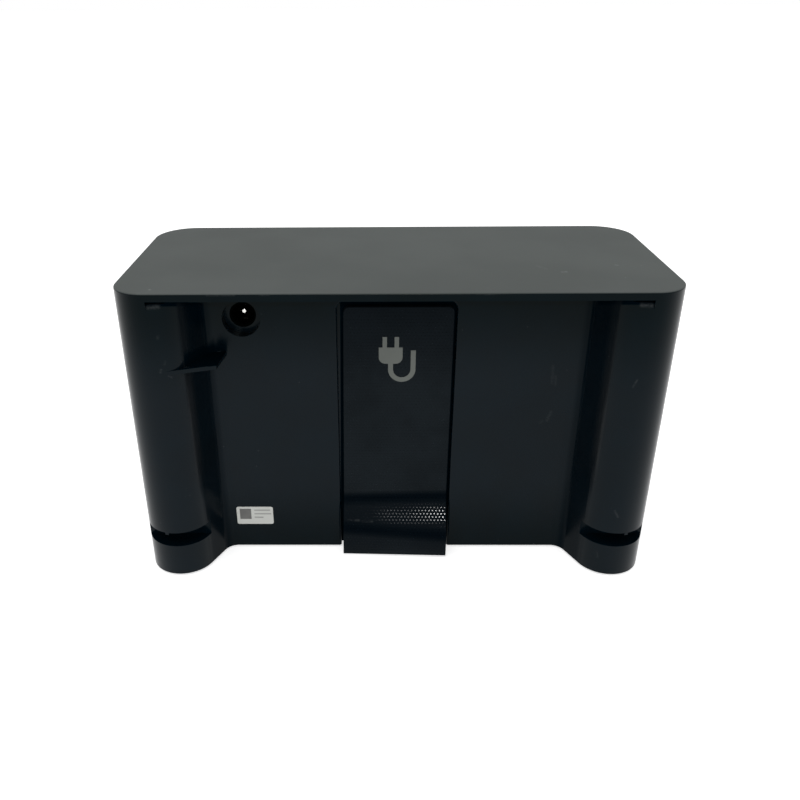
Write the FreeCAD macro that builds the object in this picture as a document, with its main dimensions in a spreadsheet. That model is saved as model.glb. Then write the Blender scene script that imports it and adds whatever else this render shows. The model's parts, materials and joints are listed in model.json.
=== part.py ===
import FreeCAD, Part
import os
import re
import Sketcher
from FreeCAD import Vector

# Robot vacuum charging dock, in millimetres: +Z up, the ramp towards -Y, the cord recess towards +Y.
# Each piece is drawn with the rear of the housing at Y = 0 and is then moved back, so that the middle
# of the whole footprint stands at the origin.

SIZES = {
    # Housing
    "body_width": 169.0,
    "body_depth": 74.5,
    "body_height": 101.3,
    "corner_radius": 10.95,
    "front_corner": 13.0,
    "wall": 2.2,
    "top_plate": 2.5,
    "top_round": 0.6,
    "pad_lift": 0.8,
    "fit_gap": 0.3,
    # Cord recess between the two rear columns
    "recess_depth": 16.2,
    "flank_angle": 64.0,
    "recess_fillet": 5.0,
    # Slots at the foot and the head of each column
    "cord_slot_base": 12.4,
    "cord_slot_height": 5.3,
    "cord_slot_depth": 7.5,
    "cord_tooth_offset": 2.1,
    "cord_tooth_width": 1.2,
    "cord_tooth_drop": 0.8,
    "rim_slot_height": 2.5,
    "rim_slot_throat": 1.0,
    "rim_slot_bevel": 1.0,
    "rim_slot_depth": 6.0,
    "rim_slot_end": 0.5,
    # Cord fin in the corner under the socket
    "fin_drop": 24.7,
    "fin_thick": 1.3,
    "fin_tip_inset": 29.2,
    "fin_tip_depth": 5.3,
    "fin_foot_inset": 30.7,
    # Channel in the rear wall, and the strap that hangs in it
    "channel_width": 37.5,
    "channel_depth": 2.6,
    "channel_drop": 8.2,
    "channel_corner": 3.0,
    "channel_round": 0.8,
    "strap_thick": 1.8,
    "strap_side_gap": 0.75,
    "strap_top_gap": 2.2,
    "strap_corner": 2.0,
    "strap_kick": 6.3,
    "strap_bend_angle": 28.0,
    "strap_bend_radius": 8.0,
    "strap_tail": 6.5,
    "strap_floor_gap": 0.6,
    "stud_spacing": 20.0,
    "stud_drop": 8.0,
    "stud_diameter": 5.0,
    "stud_gap": 0.15,
    "stud_head_diameter": 7.6,
    "stud_head_thick": 1.5,
    # Plug socket
    "jack_inset": 36.0,
    "jack_drop": 13.75,
    "plug_recess_diameter": 12.0,
    "plug_recess_depth": 3.8,
    "jack_boss_wall": 2.2,
    "jack_floor": 1.6,
    "jack_hole_diameter": 8.4,
    "jack_gap": 0.1,
    "jack_mouth_diameter": 7.0,
    "jack_mouth_chamfer": 0.4,
    "jack_mouth_depth": 10.0,
    "jack_block_width": 9.0,
    "jack_block_depth": 12.5,
    "jack_block_height": 11.0,
    "jack_axis_height": 6.5,
    "jack_pin_diameter": 2.0,
    "jack_pin_tip_depth": 2.8,
    "jack_pin_round": 0.6,
    "jack_leaf_width": 1.6,
    "jack_leaf_thick": 0.25,
    "jack_leaf_length": 5.0,
    "jack_leaf_rise": 0.2,
    # Circuit board and what stands on it
    "board_thick": 1.6,
    "board_side_gap": 3.0,
    "board_rear_gap": 3.0,
    "board_front_gap": 4.3,
    "board_post_diameter": 5.6,
    "board_post_side": 3.5,
    "board_post_rear": 16.0,
    "board_post_front": 8.0,
    "capacitor_diameter": 8.0,
    "capacitor_height": 12.0,
    "capacitor_offset": 20.0,
    "chip_length": 10.0,
    "chip_width": 6.0,
    "chip_height": 1.8,
    "chip_offset": 20.0,
    # Docking beacons behind the front window
    "window_width": 84.0,
    "window_height": 15.0,
    "window_corner": 3.0,
    "window_gap": 0.15,
    "window_flange": 1.2,
    "window_margin": 2.0,
    "emitter_inset": 12.0,
    "emitter_height": 4.2,
    "emitter_diameter": 5.0,
    "emitter_barrel": 5.1,
    "emitter_rim_diameter": 5.8,
    "emitter_rim": 1.0,
    "emitter_tip_gap": 0.5,
    "emitter_leg": 0.5,
    "emitter_leg_spacing": 2.54,
    "emitter_leg_reach": 2.0,
    "emitter_bore_gap": 0.1,
    "holder_end": 6.0,
    "holder_height": 8.4,
    "holder_depth": 5.0,
    # Floor tray and ramp
    "plate_thick": 2.5,
    "ramp_side_inset": 14.0,
    "ramp_depth": 80.0,
    "ramp_reach": 7.0,
    "ramp_height": 9.0,
    "ramp_lip": 2.2,
    "ramp_slope": 26.0,
    "ramp_corner": 16.0,
    "ramp_round": 1.0,
    "ramp_wall": 2.2,
    "post_diameter": 7.0,
    "post_inset": 14.0,
    "post_front": 12.5,
    "post_rear": 16.2,
    "post_rib": 1.6,
    "post_foot": 2.0,
    "post_foot_wall": 1.0,
    "lead_hole_diameter": 3.0,
    # Screws
    "screw_diameter": 2.9,
    "screw_length": 12.0,
    "screw_head_diameter": 5.6,
    "screw_head": 1.7,
    "screw_head_sink": 0.3,
    "screw_gap": 0.1,
    "screw_tip_gap": 1.5,
    "small_screw_diameter": 2.0,
    "small_screw_length": 6.0,
    "small_screw_head_diameter": 3.6,
    "small_screw_head": 1.3,
    "screw_cross_span_ratio": 0.6,
    "screw_cross_width_ratio": 0.16,
    "screw_cross_depth_ratio": 0.5,
    # Rubber feet
    "foot_diameter": 11.0,
    "foot_thick": 1.6,
    "foot_gap": 0.15,
    "foot_inset": 14.0,
    # Cover under the ramp
    "cover_thick": 2.0,
    "cover_post_diameter": 6.0,
    "cover_post_inset": 6.0,
    "peg_diameter": 5.4,
    "peg_gap": 0.1,
    "peg_height": 2.0,
    # Sprung contacts
    "contact_inset": 30.0,
    "contact_reach": 38.0,
    "contact_length": 26.0,
    "contact_width": 12.0,
    "contact_corner": 4.5,
    "contact_sheet": 0.6,
    "contact_rise": 1.8,
    "contact_crown": 1.5,
    "contact_flange": 2.0,
    "contact_gap": 0.3,
    "spring_diameter": 7.2,
    "spring_wire": 0.7,
    "spring_turns": 3.5,
    "spring_end_gap": 0.05,
    "terminal_sheet": 0.4,
    "terminal_base": 12.0,
    "terminal_tail": 10.0,
    "terminal_tail_width": 4.0,
    "terminal_tab": 3.8,
    "lead_diameter": 1.6,
    "lead_drop": 24.0,
    "lead_floor_gap": 1.1,
    "lead_bend": 10.0,
    # Sticker on the rear wall
    "label_width": 12.8,
    "label_height": 7.2,
    "label_thick": 0.15,
    "label_corner": 0.7,
    "label_inset": 35.4,
    "label_base": 10.1,
}

# Places that several pieces share, as formulas of the sheet's names
REAR = "(body_depth + ramp_depth) / 2"
COLUMN_X = "(body_width / 2 - corner_radius)"
FRONT_X = "(body_width / 2 - front_corner)"
CEILING = "(body_height - top_plate)"
BLEND = "(corner_radius + recess_fillet)"
WALL_X = (f"({COLUMN_X} - {BLEND} * sin(flank_angle)"
          f" - (recess_depth - {BLEND} + {BLEND} * cos(flank_angle)) / tan(flank_angle))")
CHANNEL_FLOOR = "(recess_depth + channel_depth)"
CORD_SLOT_TOP = "(cord_slot_base + cord_slot_height)"
FIN_TOP = "(body_height - fin_drop)"
FIN_TIP_X = "(body_width / 2 - fin_tip_inset)"
FIN_SPAN = f"({COLUMN_X} - {FIN_TIP_X})"
FIN_SINK = "(corner_radius - fin_tip_depth)"
FIN_TURN = f"(asin(corner_radius / sqrt({FIN_SPAN}^2 + {FIN_SINK}^2)) - atan({FIN_SINK} / {FIN_SPAN}))"
STRAP_TOP = "(body_height - channel_drop - strap_top_gap)"
STUD_Z = f"({STRAP_TOP} - stud_drop)"
JACK_X = "(body_width / 2 - jack_inset)"
JACK_Z = "(body_height - jack_drop)"
JACK_FACE = "(recess_depth + plug_recess_depth + jack_gap)"
JACK_BACK = f"({JACK_FACE} + jack_floor)"
POST_X = "(body_width / 2 - post_inset)"
POST_FRONT = "(body_depth - post_front)"
POST_REAR = f"({CHANNEL_FLOOR} + post_rear)"
POST_FOOT_Z = "(pad_lift + plate_thick + post_foot)"
BOARD_TOP = f"({JACK_Z} - jack_axis_height)"
BOARD_BASE = f"({BOARD_TOP} - board_thick)"
BOARD_HALF = f"({POST_X} - post_diameter / 2 - board_side_gap)"
BOARD_REAR = f"({CHANNEL_FLOOR} + wall + board_rear_gap)"
BOARD_FRONT = "(body_depth - wall - board_front_gap)"
BOARD_POST_X = f"({BOARD_HALF} - board_post_side)"
BOARD_POST_REAR = f"({BOARD_REAR} + board_post_rear)"
BOARD_POST_FRONT = f"({BOARD_FRONT} - board_post_front)"
EMITTER_Z = f"({BOARD_TOP} + emitter_height)"
EMITTER_X = "(window_width / 2 - emitter_inset)"
WINDOW_BACK = "(body_depth - wall - window_flange)"
EMITTER_TIP = f"({WINDOW_BACK} - emitter_tip_gap)"
EMITTER_RIM = f"({EMITTER_TIP} - emitter_diameter / 2 - emitter_barrel)"
RAMP_HALF = "(body_width / 2 - ramp_side_inset)"
RAMP_FRONT = "(body_depth + ramp_depth)"
RAMP_BACK = "(body_depth - ramp_reach)"
CAVITY_HALF = f"({RAMP_HALF} - ramp_wall)"
CAVITY_FRONT = f"({RAMP_FRONT} - ramp_slope)"
CAVITY_BACK = f"({RAMP_BACK} + ramp_wall)"
SKIN = "(ramp_height - ramp_wall)"
COVER_TOP = "(pad_lift + cover_thick)"
CONTACT_X = f"({RAMP_HALF} - contact_inset)"
CONTACT_Y = "(body_depth + contact_reach)"
CONTACT_TOP = "(ramp_height + contact_rise)"
TERMINAL_TOP = f"({COVER_TOP} + terminal_sheet)"
TAB_Y = f"({CONTACT_Y} - terminal_base / 2 - terminal_tail)"
LEAD_Y = f"({BOARD_REAR} + lead_drop)"
LEAD_Z = "(pad_lift + plate_thick + lead_floor_gap + lead_diameter / 2)"
FOOT_FRONT_X = f"({RAMP_HALF} - foot_inset)"
FOOT_FRONT_Y = f"({RAMP_FRONT} - foot_inset)"
LABEL_X = "(body_width / 2 - label_inset)"

SIDES = {"left": "", "right": "-"}
CLOSE = 1e-4
FACING_UP = "XY_Plane"
FACING_FRONT = "XZ_Plane"
FACING_SIDE = "YZ_Plane"

document = FreeCAD.newDocument("charging_dock")
sheet = document.addObject("Spreadsheet::Sheet", "Dims")
pieces = []


def fill_sheet():
    """Writes each size into the sheet, with its name beside it as the alias."""
    for row, (name, size) in enumerate(SIZES.items(), start=1):
        sheet.set(f"A{row}", name)
        sheet.set(f"B{row}", str(size))
        sheet.setAlias(f"B{row}", name)
    document.recompute()


def bound(formula):
    """A formula of size names, as an expression that reads the sheet."""
    return re.sub(r"[a-z_]+", lambda word: f"Dims.{word[0]}" if word[0] in SIZES else word[0], formula)


def value(formula):
    """The number that a formula of size names has now."""
    return float(sheet.evalExpression(bound(formula)))


def new_body(label):
    """A piece, moved so that the whole footprint is centred on the origin."""
    body = document.addObject("PartDesign::Body", label)
    body.Label = label
    body.setExpression("Placement.Base.y", bound(REAR))
    pieces.append(body)
    return body


def new_sketch(body, plane, offset="0", origin_x="0", origin_y="0"):
    """A sketch on one of the body's planes, moved along the plane's normal and within the plane.

    The normals point up, to the front and to the left, so an offset is a height, a depth from the
    rear of the housing, or a place along X.
    """
    sketch = body.newObject("Sketcher::SketchObject", f"{body.Label}_sketch")
    support = next(feature for feature in body.Origin.OriginFeatures if feature.Role == plane)
    sketch.AttachmentSupport = (support, [""])
    sketch.MapMode = "FlatFace"
    sketch.setExpression("AttachmentOffset.Base.x", bound(origin_x))
    sketch.setExpression("AttachmentOffset.Base.y", bound(origin_y))
    sketch.setExpression("AttachmentOffset.Base.z", bound(offset))
    return sketch


def dimension(sketch, kind, *geometry, formula):
    """One dimension of a sketch, bound to a formula."""
    constraint = Sketcher.Constraint(kind, *geometry, value(formula))
    index = sketch.addConstraint(constraint)
    sketch.setExpression(f"Constraints[{index}]", bound(formula))


def fix_point(sketch, edge, point, x, y):
    """Dimensions one point of an edge from the sketch's origin."""
    for kind, axis, formula in (("DistanceX", -2, x), ("DistanceY", -1, y)):
        if formula == "0":
            sketch.addConstraint(Sketcher.Constraint("PointOnObject", edge, point, axis))
        else:
            dimension(sketch, kind, -1, 1, edge, point, formula=formula)


def arc_between(start, end, radius, turn):
    """The shorter arc from one point to another that turns to the left or the right."""
    chord = end - start
    half = chord.Length / 2
    left = Vector(-chord.y, chord.x, 0).normalize()
    rise = max(radius ** 2 - half ** 2, 0) ** 0.5
    side = 1 if turn == "left" else -1
    centre = start + chord / 2 + left * rise * side
    middle = centre - left * radius * side
    if turn == "left":
        return Part.Arc(start, middle, end)
    return Part.Arc(end, middle, start)


def add_outline(sketch, corners):
    """Draws a closed outline through corners (x, y) or (x, y, turn, radius).

    The edge that leaves a corner is straight, or an arc of that radius where a turn is given.
    """
    places = [Vector(value(corner[0]), value(corner[1]), 0) for corner in corners]
    ends = []
    for index, corner in enumerate(corners):
        start = places[index]
        end = places[(index + 1) % len(corners)]
        if len(corner) == 2:
            edge = sketch.addGeometry(Part.LineSegment(start, end), False)
            ends.append((edge, 1, 2))
            continue
        turn, radius = corner[2:]
        edge = sketch.addGeometry(arc_between(start, end, value(radius), turn), False)
        ends.append((edge, 1, 2) if turn == "left" else (edge, 2, 1))
        dimension(sketch, "Radius", edge, formula=radius)
    for index, (edge, first, last) in enumerate(ends):
        following, start, _ = ends[(index + 1) % len(ends)]
        sketch.addConstraint(Sketcher.Constraint("Coincident", edge, last, following, start))
        fix_point(sketch, edge, first, *corners[index][:2])


def add_rectangle(sketch, low_x, low_y, high_x, high_y, radius=None):
    """Draws a rectangle, with rounded corners where a radius is given."""
    if radius is None:
        add_outline(sketch, [(low_x, low_y), (high_x, low_y), (high_x, high_y), (low_x, high_y)])
        return
    add_outline(sketch, [
        (f"{low_x} + {radius}", low_y),
        (f"{high_x} - {radius}", low_y, "left", radius),
        (high_x, f"{low_y} + {radius}"),
        (high_x, f"{high_y} - {radius}", "left", radius),
        (f"{high_x} - {radius}", high_y),
        (f"{low_x} + {radius}", high_y, "left", radius),
        (low_x, f"{high_y} - {radius}"),
        (low_x, f"{low_y} + {radius}", "left", radius),
    ])


def add_circle(sketch, x, y, diameter):
    """Draws a circle at a place."""
    centre = Vector(value(x), value(y), 0)
    circle = sketch.addGeometry(Part.Circle(centre, Vector(0, 0, 1), value(diameter) / 2), False)
    fix_point(sketch, circle, 3, x, y)
    dimension(sketch, "Diameter", circle, formula=diameter)


def pad(body, sketch, length, both_ways=False):
    """Extrudes a sketch along its normal, or half of the length each way."""
    feature = body.newObject("PartDesign::Pad", f"{body.Label}_pad")
    feature.Profile = sketch
    feature.SideType = "Symmetric" if both_ways else "One side"
    feature.setExpression("Length", bound(length))
    document.recompute()
    return feature


def pocket(body, sketch, length, both_ways=False):
    """Cuts a sketch out along its normal, or half of the length each way."""
    before = body.Shape.Volume
    feature = body.newObject("PartDesign::Pocket", f"{body.Label}_pocket")
    feature.Profile = sketch
    feature.SideType = "Symmetric" if both_ways else "One side"
    feature.Reversed = True
    feature.setExpression("Length", bound(length))
    document.recompute()
    if not body.Shape.Volume < before:
        raise RuntimeError(f"a pocket of {body.Label} cuts nothing")
    return feature


def dress_edges(body, kind, size_name, chosen):
    """Rounds or chamfers the edges of a body that a test chooses."""
    base = body.Tip
    names = [f"Edge{number}" for number, edge in enumerate(base.Shape.Edges, start=1) if chosen(edge)]
    if not names:
        raise RuntimeError(f"no edge of {body.Label} to dress")
    feature = body.newObject(f"PartDesign::{kind}", f"{body.Label}_{kind.lower()}")
    feature.Base = (base, names)
    feature.setExpression("Radius" if kind == "Fillet" else "Size", bound(size_name))
    document.recompute()


def lies_at(edge, axis, place):
    """Whether the whole edge lies at one place along an axis, such as a height."""
    box = edge.BoundBox
    low = getattr(box, f"{axis}Min")
    high = getattr(box, f"{axis}Max")
    return abs(low - place) < CLOSE and abs(high - place) < CLOSE


def add_plan(sketch, inset, stepped):
    """Draws the housing's plan, set in from its outer face.

    Each rear corner runs on round a column, leaves it along a straight flank and meets the recessed
    wall in a fillet. A stepped plan passes in front of the strap's channel.
    """
    round_in = f"(corner_radius - {inset})"
    round_front = f"(front_corner - {inset})"
    round_out = f"(recess_fillet + {inset})"
    side = f"(body_width / 2 - {inset})"
    front = f"-(body_depth - {inset})"
    flank_x = f"({COLUMN_X} - {round_in} * sin(flank_angle))"
    flank_y = f"-corner_radius + {round_in} * cos(flank_angle)"
    foot_x = f"({WALL_X} + {round_out} * sin(flank_angle))"
    foot_y = f"-recess_depth + recess_fillet - {round_out} * cos(flank_angle)"
    wall_y = f"-(recess_depth + {inset})"
    step_x = f"(channel_width / 2 + {inset})"
    step_y = f"-({CHANNEL_FLOOR} + {inset})"
    step = [(step_x, wall_y), (step_x, step_y), (f"-{step_x}", step_y), (f"-{step_x}", wall_y)]
    add_outline(sketch, [
        (f"-{FRONT_X}", front),
        (FRONT_X, front, "left", round_front),
        (side, "-(body_depth - front_corner)"),
        (side, "-corner_radius", "left", round_in),
        (flank_x, flank_y),
        (foot_x, foot_y, "right", round_out),
        (WALL_X, wall_y),
        *(step if stepped else []),
        (f"-{WALL_X}", wall_y, "right", round_out),
        (f"-{foot_x}", foot_y),
        (f"-{flank_x}", flank_y, "left", round_in),
        (f"-{side}", "-corner_radius"),
        (f"-{side}", "-(body_depth - front_corner)", "left", round_front),
    ])


def corner_places(x, front, rear):
    """Four places, left and right, at two depths from the rear."""
    return [(f"{sign}{x}", f"-{depth}") for sign in SIDES.values() for depth in (front, rear)]


BASE_SCREW_PLACES = corner_places(POST_X, POST_FRONT, POST_REAR)
BOARD_SCREW_PLACES = corner_places(BOARD_POST_X, BOARD_POST_FRONT, BOARD_POST_REAR)
COVER_SCREW_PLACES = corner_places(
    f"({CAVITY_HALF} - cover_post_inset)",
    f"({CAVITY_FRONT} - cover_post_inset)",
    f"({CAVITY_BACK} + cover_post_inset)",
)
FOOT_PLACES = {
    "foot_front_left": (FOOT_FRONT_X, f"-{FOOT_FRONT_Y}"),
    "foot_front_right": (f"-{FOOT_FRONT_X}", f"-{FOOT_FRONT_Y}"),
    "foot_rear_left": (COLUMN_X, "-corner_radius"),
    "foot_rear_right": (f"-{COLUMN_X}", "-corner_radius"),
}


def pad_circles(body, height, places, diameter, length):
    """Pads one round post, head or shank at each place, upwards from a height."""
    sketch = new_sketch(body, FACING_UP, height)
    for x, y in places:
        add_circle(sketch, x, y, diameter)
    pad(body, sketch, length)


def cut_circles(body, height, places, diameter, length):
    """Cuts one round hole at each place, upwards from a height."""
    sketch = new_sketch(body, FACING_UP, height)
    for x, y in places:
        add_circle(sketch, x, y, diameter)
    pocket(body, sketch, length)


def build_housing():
    """The main moulding: top plate, walls, columns, recess, slots, fin, channel and bosses."""
    housing = new_body("housing")
    add_shell(housing)
    add_inner_bosses(housing)
    cut_rear_wall(housing)
    cut_column_slots(housing)
    cut_front_wall(housing)
    dress_edges(housing, "Fillet", "top_round", lambda edge: lies_at(edge, "Z", value("body_height")))


def add_shell(housing):
    """Walls, top plate and cord fin, hollowed from below.

    The fin's free edge leaves the round of the column as a tangent.
    """
    walls = new_sketch(housing, FACING_UP, "pad_lift")
    add_plan(walls, "0", stepped=False)
    pad(housing, walls, f"{CEILING} - pad_lift")

    top = new_sketch(housing, FACING_UP, CEILING)
    add_outline(top, [
        (f"-{FRONT_X}", "-body_depth"),
        (FRONT_X, "-body_depth", "left", "front_corner"),
        ("body_width / 2", "-(body_depth - front_corner)"),
        ("body_width / 2", "-corner_radius", "left", "corner_radius"),
        (COLUMN_X, "0"),
        (f"-{COLUMN_X}", "0", "left", "corner_radius"),
        ("-body_width / 2", "-corner_radius"),
        ("-body_width / 2", "-(body_depth - front_corner)", "left", "front_corner"),
    ])
    pad(housing, top, "top_plate")

    fin = new_sketch(housing, FACING_UP, f"{FIN_TOP} - fin_thick")
    add_outline(fin, [
        (FIN_TIP_X, "-fin_tip_depth"),
        ("body_width / 2 - fin_foot_inset", "-(recess_depth + wall / 2)"),
        (COLUMN_X, "-(recess_depth + wall / 2)"),
        (COLUMN_X, "-corner_radius"),
        (f"{COLUMN_X} - corner_radius * sin({FIN_TURN})", f"-corner_radius * (1 - cos({FIN_TURN}))"),
    ])
    pad(housing, fin, "fin_thick")

    hollow = new_sketch(housing, FACING_UP, "pad_lift")
    add_plan(hollow, "wall", stepped=True)
    pocket(housing, hollow, f"{CEILING} - pad_lift")


def add_inner_bosses(housing):
    """Ribbed screw posts, board posts, the boss behind the socket and the backs of the cord slots."""
    pad_circles(housing, POST_FOOT_Z, BASE_SCREW_PLACES, "post_diameter", f"{CEILING} - {POST_FOOT_Z}")
    ribs = new_sketch(housing, FACING_UP, POST_FOOT_Z)
    for depth in (POST_FRONT, POST_REAR):
        low = f"-{depth} - post_rib / 2"
        high = f"-{depth} + post_rib / 2"
        add_rectangle(ribs, POST_X, low, "body_width / 2 - wall / 2", high)
        add_rectangle(ribs, "-body_width / 2 + wall / 2", low, f"-{POST_X}", high)
    pad(housing, ribs, f"{CEILING} - {POST_FOOT_Z}")
    cut_circles(housing, POST_FOOT_Z, BASE_SCREW_PLACES, "screw_diameter + 2 * screw_gap",
                "screw_length + screw_tip_gap")

    pad_circles(housing, BOARD_TOP, BOARD_SCREW_PLACES, "board_post_diameter", f"{CEILING} - {BOARD_TOP}")
    cut_circles(housing, BOARD_TOP, BOARD_SCREW_PLACES, "small_screw_diameter + 2 * screw_gap",
                "small_screw_length + screw_tip_gap")

    boss = new_sketch(housing, FACING_FRONT, "recess_depth + wall / 2")
    add_circle(boss, JACK_X, JACK_Z, "plug_recess_diameter + 2 * jack_boss_wall")
    pad(housing, boss, "plug_recess_depth + jack_floor - wall / 2")

    columns = [(f"{sign}{COLUMN_X}", "-corner_radius") for sign in SIDES.values()]
    pad_circles(housing, "cord_slot_base - wall", columns, "2 * corner_radius - wall",
                "cord_slot_height + 2 * wall")


def cut_rear_wall(housing):
    """The strap's channel with its stud holes, and the stepped hole of the socket."""
    half = "channel_width / 2"
    top = "(body_height - channel_drop)"
    channel = new_sketch(housing, FACING_FRONT, "recess_depth")
    add_outline(channel, [
        (f"-{half}", "0"),
        (half, "0"),
        (half, f"{top} - channel_corner", "left", "channel_corner"),
        (f"{half} - channel_corner", top),
        (f"-{half} + channel_corner", top, "left", "channel_corner"),
        (f"-{half}", f"{top} - channel_corner"),
    ])
    pocket(housing, channel, "channel_depth")
    face = -value("recess_depth")
    reach = value(half)
    dress_edges(housing, "Fillet", "channel_round", lambda edge: lies_at(edge, "Y", face)
                and abs(edge.BoundBox.XMin) < reach + CLOSE and abs(edge.BoundBox.XMax) < reach + CLOSE)

    studs = new_sketch(housing, FACING_FRONT, CHANNEL_FLOOR)
    for sign in SIDES.values():
        add_circle(studs, f"{sign}stud_spacing / 2", STUD_Z, "stud_diameter + 2 * stud_gap")
    pocket(housing, studs, "wall")

    plug = new_sketch(housing, FACING_FRONT, "recess_depth")
    add_circle(plug, JACK_X, JACK_Z, "plug_recess_diameter")
    pocket(housing, plug, "plug_recess_depth")
    mouth = new_sketch(housing, FACING_FRONT, "recess_depth + plug_recess_depth")
    add_circle(mouth, JACK_X, JACK_Z, "jack_hole_diameter")
    pocket(housing, mouth, "jack_floor")


def cut_column_slots(housing):
    """The cord's slot round the foot of each column, and the thin bevelled slot under the rim."""
    inner = f"({COLUMN_X} - corner_radius)"
    outer = "(body_width / 2 + wall)"
    tooth = f"({COLUMN_X} + cord_tooth_offset)"
    tooth_end = f"({tooth} + cord_tooth_width)"
    tooth_low = f"({CORD_SLOT_TOP} - cord_tooth_drop)"
    cord = new_sketch(housing, FACING_FRONT)
    for sign in SIDES.values():
        add_outline(cord, [
            (f"{sign}{inner}", "cord_slot_base"),
            (f"{sign}{outer}", "cord_slot_base"),
            (f"{sign}{outer}", CORD_SLOT_TOP),
            (f"{sign}{tooth_end}", CORD_SLOT_TOP),
            (f"{sign}{tooth_end}", tooth_low),
            (f"{sign}{tooth}", tooth_low),
            (f"{sign}{tooth}", CORD_SLOT_TOP),
            (f"{sign}{inner}", CORD_SLOT_TOP),
        ])
    pocket(housing, cord, "cord_slot_depth")

    length = "(corner_radius - rim_slot_end)"
    for start in (inner, f"-({COLUMN_X} - rim_slot_end)"):
        rim = new_sketch(housing, FACING_SIDE, start)
        add_outline(rim, [
            ("0", CEILING),
            ("-rim_slot_depth", CEILING),
            ("-rim_slot_bevel", f"{CEILING} - rim_slot_throat"),
            ("0", f"{CEILING} - rim_slot_height"),
        ])
        pocket(housing, rim, length)


def cut_front_wall(housing):
    """The opening for the window, and the mouth that the ramp comes out of."""
    half = "window_width / 2"
    window = new_sketch(housing, FACING_FRONT, "body_depth - 2 * wall")
    add_rectangle(window, f"-{half}", f"{EMITTER_Z} - window_height / 2",
                  half, f"{EMITTER_Z} + window_height / 2", "window_corner")
    pocket(housing, window, "3 * wall")

    mouth = new_sketch(housing, FACING_FRONT, "body_depth - 2 * wall")
    add_rectangle(mouth, f"-({RAMP_HALF} + fit_gap)", "0", f"{RAMP_HALF} + fit_gap", "ramp_height + fit_gap")
    pocket(housing, mouth, "3 * wall")


def build_window():
    """The dark window: a pane in the wall's opening, with a flange behind the wall."""
    window = new_body("ir_window")
    flange = new_sketch(window, FACING_FRONT, WINDOW_BACK)
    reach = "(window_width / 2 + window_margin)"
    add_rectangle(flange, f"-{reach}", f"{EMITTER_Z} - window_height / 2 - window_margin",
                  reach, f"{EMITTER_Z} + window_height / 2 + window_margin", "window_corner")
    pad(window, flange, "window_flange")
    pane = new_sketch(window, FACING_FRONT, "body_depth - wall")
    half = "(window_width / 2 - window_gap)"
    add_rectangle(pane, f"-{half}", f"{EMITTER_Z} - window_height / 2 + window_gap",
                  half, f"{EMITTER_Z} + window_height / 2 - window_gap", "(window_corner - window_gap)")
    pad(window, pane, "wall")


def build_strap():
    """The rubber strap: flat in its channel, kicked out at the foot, with two studs at its back."""
    strap = new_body("cord_strap")
    back = f"(-{CHANNEL_FLOOR})"
    face = f"({back} + strap_thick)"
    outer = "(strap_bend_radius + strap_thick)"
    turn_y = "cos(strap_bend_angle)"
    turn_z = "sin(strap_bend_angle)"
    middle = "(2 * strap_bend_radius + strap_thick)"
    slope = f"((strap_kick - {middle} * (1 - {turn_y})) / {turn_z})"
    tail = "(strap_floor_gap + strap_tail)"
    bend = f"({tail} + {middle} * {turn_z} + {slope} * {turn_y})"
    upper_y = f"({face} + strap_bend_radius)"
    lower_y = f"({back} + strap_kick - strap_bend_radius)"
    side = new_sketch(strap, FACING_SIDE)
    add_outline(side, [
        (back, STRAP_TOP),
        (back, bend, "left", outer),
        (f"{upper_y} - {outer} * {turn_y}", f"{bend} - {outer} * {turn_z}"),
        (f"{lower_y} + strap_bend_radius * {turn_y}", f"{tail} + strap_bend_radius * {turn_z}",
         "right", "strap_bend_radius"),
        (f"{back} + strap_kick", tail),
        (f"{back} + strap_kick", "strap_floor_gap"),
        (f"{face} + strap_kick", "strap_floor_gap"),
        (f"{face} + strap_kick", tail, "left", outer),
        (f"{lower_y} + {outer} * {turn_y}", f"{tail} + {outer} * {turn_z}"),
        (f"{upper_y} - strap_bend_radius * {turn_y}", f"{bend} - strap_bend_radius * {turn_z}",
         "right", "strap_bend_radius"),
        (face, bend),
        (face, STRAP_TOP),
    ])
    pad(strap, side, "channel_width - 2 * strap_side_gap", both_ways=True)
    half = value("channel_width / 2 - strap_side_gap")
    top = value(STRAP_TOP)
    dress_edges(strap, "Fillet", "strap_corner", lambda edge: lies_at(edge, "Z", top)
                and (lies_at(edge, "X", half) or lies_at(edge, "X", -half)))
    for depth, diameter, length in (
        (CHANNEL_FLOOR, "stud_diameter", "wall"),
        (f"{CHANNEL_FLOOR} + wall", "stud_head_diameter", "stud_head_thick"),
    ):
        stud = new_sketch(strap, FACING_FRONT, depth)
        for sign in SIDES.values():
            add_circle(stud, f"{sign}stud_spacing / 2", STUD_Z, diameter)
        pad(strap, stud, length)


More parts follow.
